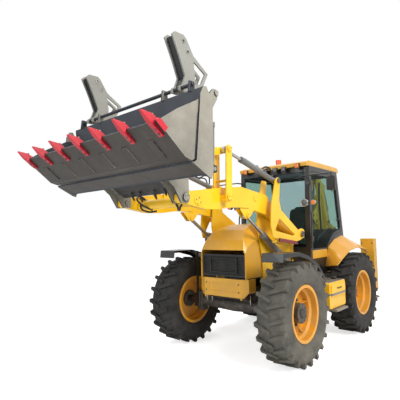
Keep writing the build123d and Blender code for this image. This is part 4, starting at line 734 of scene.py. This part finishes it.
# Cab trim: window seal, wiper, door handles with their plates, pull bars and seals
windscreen = [(0.990, -0.615, 1.505), (0.990, 0.615, 1.505), (0.938, 0.615, 2.785), (0.938, -0.615, 2.785),
              (0.990, -0.615, 1.505)]
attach(tubeSurface("frontSeal", [spot(*c) for c in windscreen], 0.009, finishes["hoseRubber"], sides=8),
        "chassis")
wiper = [("wiperArm", 0.007, [(0.994, 0.05, 1.56), (1.007, 0.07, 1.80), (0.992, 0.09, 2.15)]),
         ("wiperBlade", 0.006, [(1.005, 0.085, 1.86), (0.990, 0.088, 2.18), (0.978, 0.092, 2.50)])]
for name, radius, points in wiper:
    line = smoothPath([spot(*p) for p in points], 16)
    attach(tubeSurface(name, line, radius, finishes["moulding"], sides=8), "chassis")
door = dict(  # x, distance from the middle, z; outlines as x, z
    grip=[(-0.235, 0.700, 1.96), (-0.225, 0.735, 1.965), (-0.130, 0.735, 1.975), (-0.120, 0.700, 1.978)],
    bar=[(0.60, 0.650, 1.62), (0.60, 0.63, 1.64), (0.15, 0.63, 1.80), (0.10, 0.650, 1.82)],
    plate=[(-0.26, 1.945), (-0.10, 1.955), (-0.10, 2.0), (-0.25, 1.99)],
    opening=[(0.913, 1.475), (0.877, 2.743), (-0.130, 2.763), (-0.284, 1.828), (-0.235, 1.790), (0.016, 1.733),
             (0.256, 1.574),
             (0.363, 1.475), (0.913, 1.475)])
for side, hand in (("left", 1), ("right", -1)):
    plate = plateSurface("handlePlate", door["plate"], hand * 0.700, hand * 0.706, finishes["moulding"])
    grip, bar = (smoothPath([spot(x, hand * y, z) for x, y, z in door[k]], n) for k,
                 n in (("grip", 16), ("bar", 24)))
    for piece in (tubeSurface("doorHandle", grip, 0.009, finishes["moulding"], sides=12), plate,
                  tubeSurface("pullBar", bar, 0.011, finishes["blackPaint"], sides=12),
                  tubeSurface("doorSeal", [spot(x, hand * 0.684, z) for x, z in door["opening"]], 0.006,
                              finishes["hoseRubber"], sides=8)):
        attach(piece, "door_" + side)

# Amber sill under each door, banded lock bar along each tower
sill = dict(outline=[(0.37, 1.315), (0.95, 1.315), (0.95, 1.452), (0.37, 1.452)], inner=0.655, outer=0.708,
            corner=0.008)
lockBar = dict(outline=[(1.50, 1.575), (2.04, 1.640), (2.04, 1.690), (1.50, 1.625)], inner=0.702, outer=0.724,
               corner=0.003)
for hand in (1, -1):
    sillPiece = plateSurface("doorSill", sill["outline"], hand * sill["inner"], hand * sill["outer"],
                             finishes["amberPaint"])
    barPiece = plateSurface("lockBar", lockBar["outline"], hand * lockBar["inner"], hand * lockBar["outer"],
                            finishes["bandedPaint"])
    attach(softened(sillPiece, sill["corner"]), "chassis")
    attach(softened(barPiece, lockBar["corner"], 2), "chassis")
print("stage: cab trimmed")

# Tanks and steps: bars across each tread, lid handles, filler caps; beads along the rear fenders' edges
tank = dict(steps=((0.588, 1.088), (0.828, 1.053)), tread=0.0045, grip=0.007,  # height and middle of each step
            handle=[(0.98, 1.155, 0.90), (0.985, 1.178, 0.90), (1.105, 1.178, 0.90), (1.11, 1.155, 0.90)],
            cap=((0.999, 0.034), (1.012, 0.034), (1.016, 0.046), (1.040, 0.044)))  # height, radius
fender = dict(edge=0.992, bead=0.009, line=[(0.667, 1.200), (0.398, 1.305), (0.08, 1.415), (-0.29, 1.457),
                                            (-0.724, 1.410), (-0.858, 1.326)])
for hand in (1, -1):
    treads = []
    for z, y0 in tank["steps"]:
        for x in np.linspace(0.86, 1.23, 13):
            ends = [spot(x - 0.010, hand * (y0 - 0.085), z), spot(x + 0.010, hand * (y0 + 0.09), z)]
            treads.append(tubeSurface("tread", ends, tank["tread"], finishes["pinSteel"], sides=6))
    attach(joined("stepTread", treads), "chassis")
    handle = smoothPath([spot(x, hand * y, z) for x, y, z in tank["handle"]], 16)
    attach(tubeSurface("lidGrip", handle, tank["grip"], finishes["moulding"], sides=10), "chassis")
    levels = np.array(tank["cap"])
    cap = tubeSurface("fillerCap", [spot(0.86, hand * 1.0, z) for z in levels[:, 0]], levels[:, 1],
                      finishes["moulding"], sides=28)
    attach(cap, "chassis")
    bead = [spot(x, hand * fender["edge"], z) for x, z in fender["line"]]
    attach(tubeSurface("fenderBead", bead, fender["bead"], finishes["amberPaint"], sides=10), "chassis")
print("stage: tanks and steps dressed")

# Bucket: measured along its floor, which leans up from the lip
lipX, lipZ, lean = 4.872, 2.752, math.radians(38.5)


def onFloor(u, v, y):  # u forward of the lip along the floor, v above its underside
    return spot(lipX + u * math.cos(lean) - v * math.sin(lean), y,
                lipZ + u * math.sin(lean) + v * math.cos(lean))


# Teeth: each a forked wedge over the lip, narrower at its drooping tip; corner guards at the lip's ends
tooth = dict(count=7, reach=1.161, halfWidth=0.029, tip=0.38, guardPlace=1.229, guardHalf=0.004, taperFrom=0.04,
             taperLength=0.11)
toothOutline = [(0.158, -0.024), (0.152, -0.010), (0.054, 0.046), (-0.038, 0.054), (-0.038, 0.021),
                (0.001, 0.021),
                (0.001, -0.001), (-0.150, -0.001), (-0.150, -0.022), (0.048, -0.034)]
guardOutline = [(0.018, -0.013), (0.018, 0.023), (-0.020, 0.048), (-0.118, 0.048), (-0.118, -0.013)]


# outline in the floor's own frame, carried across; its front draws in
def wedge(name, outline, y, half, narrow):
    def width(u):
        return half * (1 - (1 - narrow) * min(1, max(0, (u - tooth["taperFrom"]) / tooth["taperLength"])))
    sides = [[onFloor(u, v, y + hand * width(u)) for u, v in outline] for hand in (-1, 1)]
    return gridSurface(name, np.array(sides), finishes["redPaint"], wrapAcross=True, smooth=False, caps=True)


toothPlaces = np.linspace(-tooth["reach"], tooth["reach"], tooth["count"])
lipTeeth = [wedge("tooth", toothOutline, y, tooth["halfWidth"], tooth["tip"]) for y in toothPlaces]
for hand in (1, -1):
    lipTeeth.append(wedge("guard", guardOutline, hand * tooth["guardPlace"], tooth["guardHalf"], 1.0))
teeth = softened(joined("lipTeeth", lipTeeth), 0.004, 2)
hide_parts("bucket_teeth")
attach(teeth, "clam")
floorDown = (math.sin(lean), 0, -math.cos(lean))
under, over = [], []
for y in toothPlaces:
    under += [onFloor(u, -0.024, y) for u in (-0.115, -0.060)]
    over += [onFloor(u, 0.0535, y) for u in (-0.010, 0.045)]
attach(hexHeads("toothBolts", under, 0.013, 0.010, floorDown, finishes["pinSteel"]), "clam")
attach(hexHeads("toothNuts", over, 0.012, 0.009, tuple(-c for c in floorDown), finishes["pinSteel"]), "clam")
weld = dict(radius=0.006, place=1.196, height=0.022, ripple=0.0012, beads=60)
welds = []
for hand in (1, -1):
    along = np.linspace(-0.05, -0.40, weld["beads"])
    path = np.array([onFloor(u, weld["height"], hand * weld["place"]) for u in along])
    path = path + weld["ripple"] * np.sin(np.arange(weld["beads"]) * 2.1)[:, None]
    welds.append(tubeSurface("weld", path, weld["radius"], finishes["bucketSteel"], sides=8))
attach(joined("floorWeld", welds), "clam")

# Fork carriers: raised rings round the pin holes; black strips between each carrier's plates stand in for the
# shaded gap: painted shade
fork = dict(places=(-0.8, 0.8), holes=((4.157, 3.839), (4.091, 3.741)), side=0.065, faceHalf=0.046,
            faceLift=0.001,
            ring=[(0.014, 0.0), (0.026, 0.0), (0.026, 0.003), (0.023, 0.005), (0.016, 0.005), (0.014, 0.004)],
            face=[(4.2955, 3.858), (4.1955, 3.644), (4.120, 3.467), (4.167, 3.372)])
rings = []
for y in fork["places"]:
    for x, z in fork["holes"]:
        for hand in (1, -1):
            ring = turned("holeRing", fork["ring"], 0, 0, finishes["forkPaint"], steps=32)
            mirrored = Matrix.Scale(hand, 4, (0, 1, 0))
            ring.data.transform(Matrix.Translation((x, y + hand * fork["side"], z)) @ mirrored)
            if hand < 0:
                ring.data.flip_normals()
            rings.append(ring)
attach(joined("forkHoleRings", rings), "fork_carriers")
# black strip over the gap between each carrier's plates: painted shade
channels = []
for y in fork["places"]:
    strip = np.array([[spot(x, y + s * fork["faceHalf"], z + fork["faceLift"]) for s in (-1, 1)] for x,
                      z in fork["face"]])
    channels.append(gridSurface("channelPaintedShade", strip, finishes["blackPaint"], smooth=False, flip=True))
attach(joined("forkChannelPaintedShade", channels), "fork_carriers")
print("stage: bucket dressed")

# Behind the bucket, between its lugs: clamp cylinders, a guard plate and hoses
hitch = dict(half=0.449, x=3.985, z=2.345, barrel=0.050, waist=0.044, rod=0.022, hose=0.011, inner=0.07,
             guard=[(3.93, 2.262), (4.11, 2.372), (4.104, 2.382), (3.924, 2.272)],
             hoses=((-0.30, 0.10), (-0.14, 0.13), (0.12, 0.11), (0.29, 0.08)))  # place across, sag
for hand in (1, -1):
    y0, y1 = hand * hitch["inner"], hand * hitch["half"]
    collars = (y0, y0 + hand * 0.02, y0 + hand * 0.022, y1 - hand * 0.022, y1 - hand * 0.02, y1)
    wide, slim = hitch["barrel"], hitch["waist"]
    barrel = tubeSurface("clampBarrel", [spot(hitch["x"], y, hitch["z"]) for y in collars],
                         np.array((wide, wide, slim, slim, wide, wide)), finishes["hubPaint"], sides=32)
    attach(barrel, "bucket")
ends = [spot(hitch["x"], -0.08, hitch["z"]), spot(hitch["x"], 0.08, hitch["z"])]
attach(tubeSurface("clampRod", ends, hitch["rod"], finishes["rodSteel"], sides=24), "bucket")
guardPlate = plateSurface("hitchGuard", hitch["guard"], -hitch["half"], hitch["half"], finishes["chassisPaint"])
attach(softened(guardPlate, 0.002, 2), "bucket")
for y, sag in hitch["hoses"]:
    line = [(-0.02, y, -0.03), (-0.06, y + 0.02, -sag), (-0.03, y + 0.07, -sag - 0.02), (0.03, y + 0.10, -0.04)]
    path = smoothPath([spot(hitch["x"] + dx, across, hitch["z"] + dz) for dx, across, dz in line], 32)
    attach(tubeSurface("hitchHose", path, hitch["hose"], finishes["hoseRubber"], sides=12), "bucket")
print("stage: bucket's back dressed")

# Backhoe: pin caps, stabiliser pad bolts, housing bolts
digger = dict(middle=-0.40, cap=0.010, largeCap=0.035)
rearPins = [  # name, x, z, body, distance from the backhoe's middle, radius
    ("footPin", -1.78, 0.80, "kingpost", 0.142, 0.048), ("boomBase", -1.50, 1.22, "kingpost", 0.132, 0.038),
    ("dipperPin", -1.66, 3.10, "boom", 0.100, 0.040), ("rockerPin", -2.084, 1.968, "dipper", 0.112, 0.034),
    ("rockerEnd", -2.431, 1.807, "rocker", 0.112, 0.032),
            ("diggerPin", -2.26, 1.50, "digger_bucket", 0.090, 0.038),
    ("dipperTail", -1.45, 3.34, "dipper", 0.063, 0.034), ("boomEye", -1.32, 2.12, "boom", 0.082, 0.036),
    ("dipperBase", -1.468, 1.99, "boom", 0.084, 0.034)]
for name, x, z, body, reach, radius in rearPins:
    bolts = 3 if radius > digger["largeCap"] else 0
    for hand in (1, -1):
        pinHead(name, x, digger["middle"] + hand * reach, z, hand, radius, finishes["pinSteel"], body, bolts,
                digger["cap"])
for side, hand in (("left", 1), ("right", -1)):
    pads = [spot(-1.21 + dx, hand * 0.9 + dy, 0.4305) for dx in (-0.11, 0.11) for dy in (-0.08, 0.08)]
    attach(hexHeads("padBolts", pads, 0.014, 0.010, (0, 0, 1), finishes["pinSteel"]), "stabiliser_" + side)
    boxBolts = [spot(-1.122, hand * y, z) for y in (0.80, 1.0) for z in (0.65, 1.05, 1.5)]
    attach(hexHeads("housingBolts", boxBolts, 0.013, 0.010, (1, 0, 0), finishes["pinSteel"]), "chassis")
print("stage: backhoe dressed")

# Studio: pale floor, white surround, soft light from high on the camera's right
studio = dict(floor=0.86, lift=0.68, sky=0.46, key=440.0, fill=112.0)


def makeStudio(s):
    world = bpy.data.worlds.new("surround")
    bpy.context.scene.world = world
    world.use_nodes = True
    tree = world.node_tree
    tree.nodes.clear()
    out = tree.nodes.new("ShaderNodeOutputWorld")
    path = tree.nodes.new("ShaderNodeLightPath")
    seen = None
    for ray in ("Is Camera Ray", "Is Glossy Ray", "Is Transmission Ray"):  # all three meet the white surround
        if seen:
            larger = tree.nodes.new("ShaderNodeMath")
            larger.operation = "MAXIMUM"
            tree.links.new(seen, larger.inputs[0])
            tree.links.new(path.outputs[ray], larger.inputs[1])
            seen = larger.outputs[0]
        else:
            seen = path.outputs[ray]
    soft, white = tree.nodes.new("ShaderNodeBackground"), tree.nodes.new("ShaderNodeBackground")
    soft.inputs["Color"].default_value = (0.93, 0.96, 1.0, 1.0)
    soft.inputs["Strength"].default_value = s["sky"]
    white.inputs["Strength"].default_value = 1.0
    white.inputs["Color"].default_value = (1, 1, 1, 1)
    mix = tree.nodes.new("ShaderNodeMixShader")
    tree.links.new(seen, mix.inputs["Fac"])
    tree.links.new(soft.outputs[0], mix.inputs[1])
    tree.links.new(white.outputs[0], mix.inputs[2])
    tree.links.new(mix.outputs[0], out.inputs["Surface"])

    f = Finish("paleFloor")
    faint = f.noise(0.8, 4.0)
    ground = f.node("ShaderNodeBsdfDiffuse", {}, f.blend(faint.ramp(0.3, 0.7), (s["floor"],) * 3 + (1.0,),
                                                         (s["floor"] * 0.985,) * 3 + (1.0,)))
    seen = f.node("ShaderNodeLightPath", {}, out="Is Camera Ray")
    lift = f.node("ShaderNodeEmission", {}, (1, 1, 1, 1), s["lift"])
    none = f.node("ShaderNodeEmission", {}, (0, 0, 0, 1), 0.0)
    f.finish(f.node("ShaderNodeAddShader", {}, ground, f.node("ShaderNodeMixShader", {}, seen, none, lift)))
    u, v = np.meshgrid(np.linspace(-60, 60, 9), np.linspace(-60, 60, 9), indexing="ij")
    floor = gridSurface("floor", np.stack([u, v, u * 0 - 0.002], -1), f.material)

    def softbox(name, place, aim, size, watts, tint):
        data = bpy.data.lights.new(name, "AREA")
        data.shape, data.size, data.energy, data.color = "DISK", size, watts, tint
        lightObject = bpy.data.objects.new(name, data)
        lightObject.location = place
        lightObject.rotation_euler = (Vector(aim) - Vector(place)).to_track_quat("-Z", "Y").to_euler()
        bpy.context.scene.collection.objects.link(lightObject)

    softbox("keyLight", (3.0, 8.5, 7.5), (0.3, 0, 1.4), 5.0, s["key"] * 2.2, (1.0, 0.97, 0.92))
    softbox("frontLight", (10.5, -2.5, 5.0), (0.6, 0, 1.4), 5.0, s["fill"] * 2.6, (0.95, 0.98, 1.0))
    softbox("topLight", (-2.0, -1.0, 10.0), (0.0, 0, 1.0), 6.0, s["fill"] * 3.4, (1.0, 1.0, 1.0))
    bpy.context.scene.view_settings.view_transform = "Standard"


makeStudio(studio)
print("stage: studio lit")
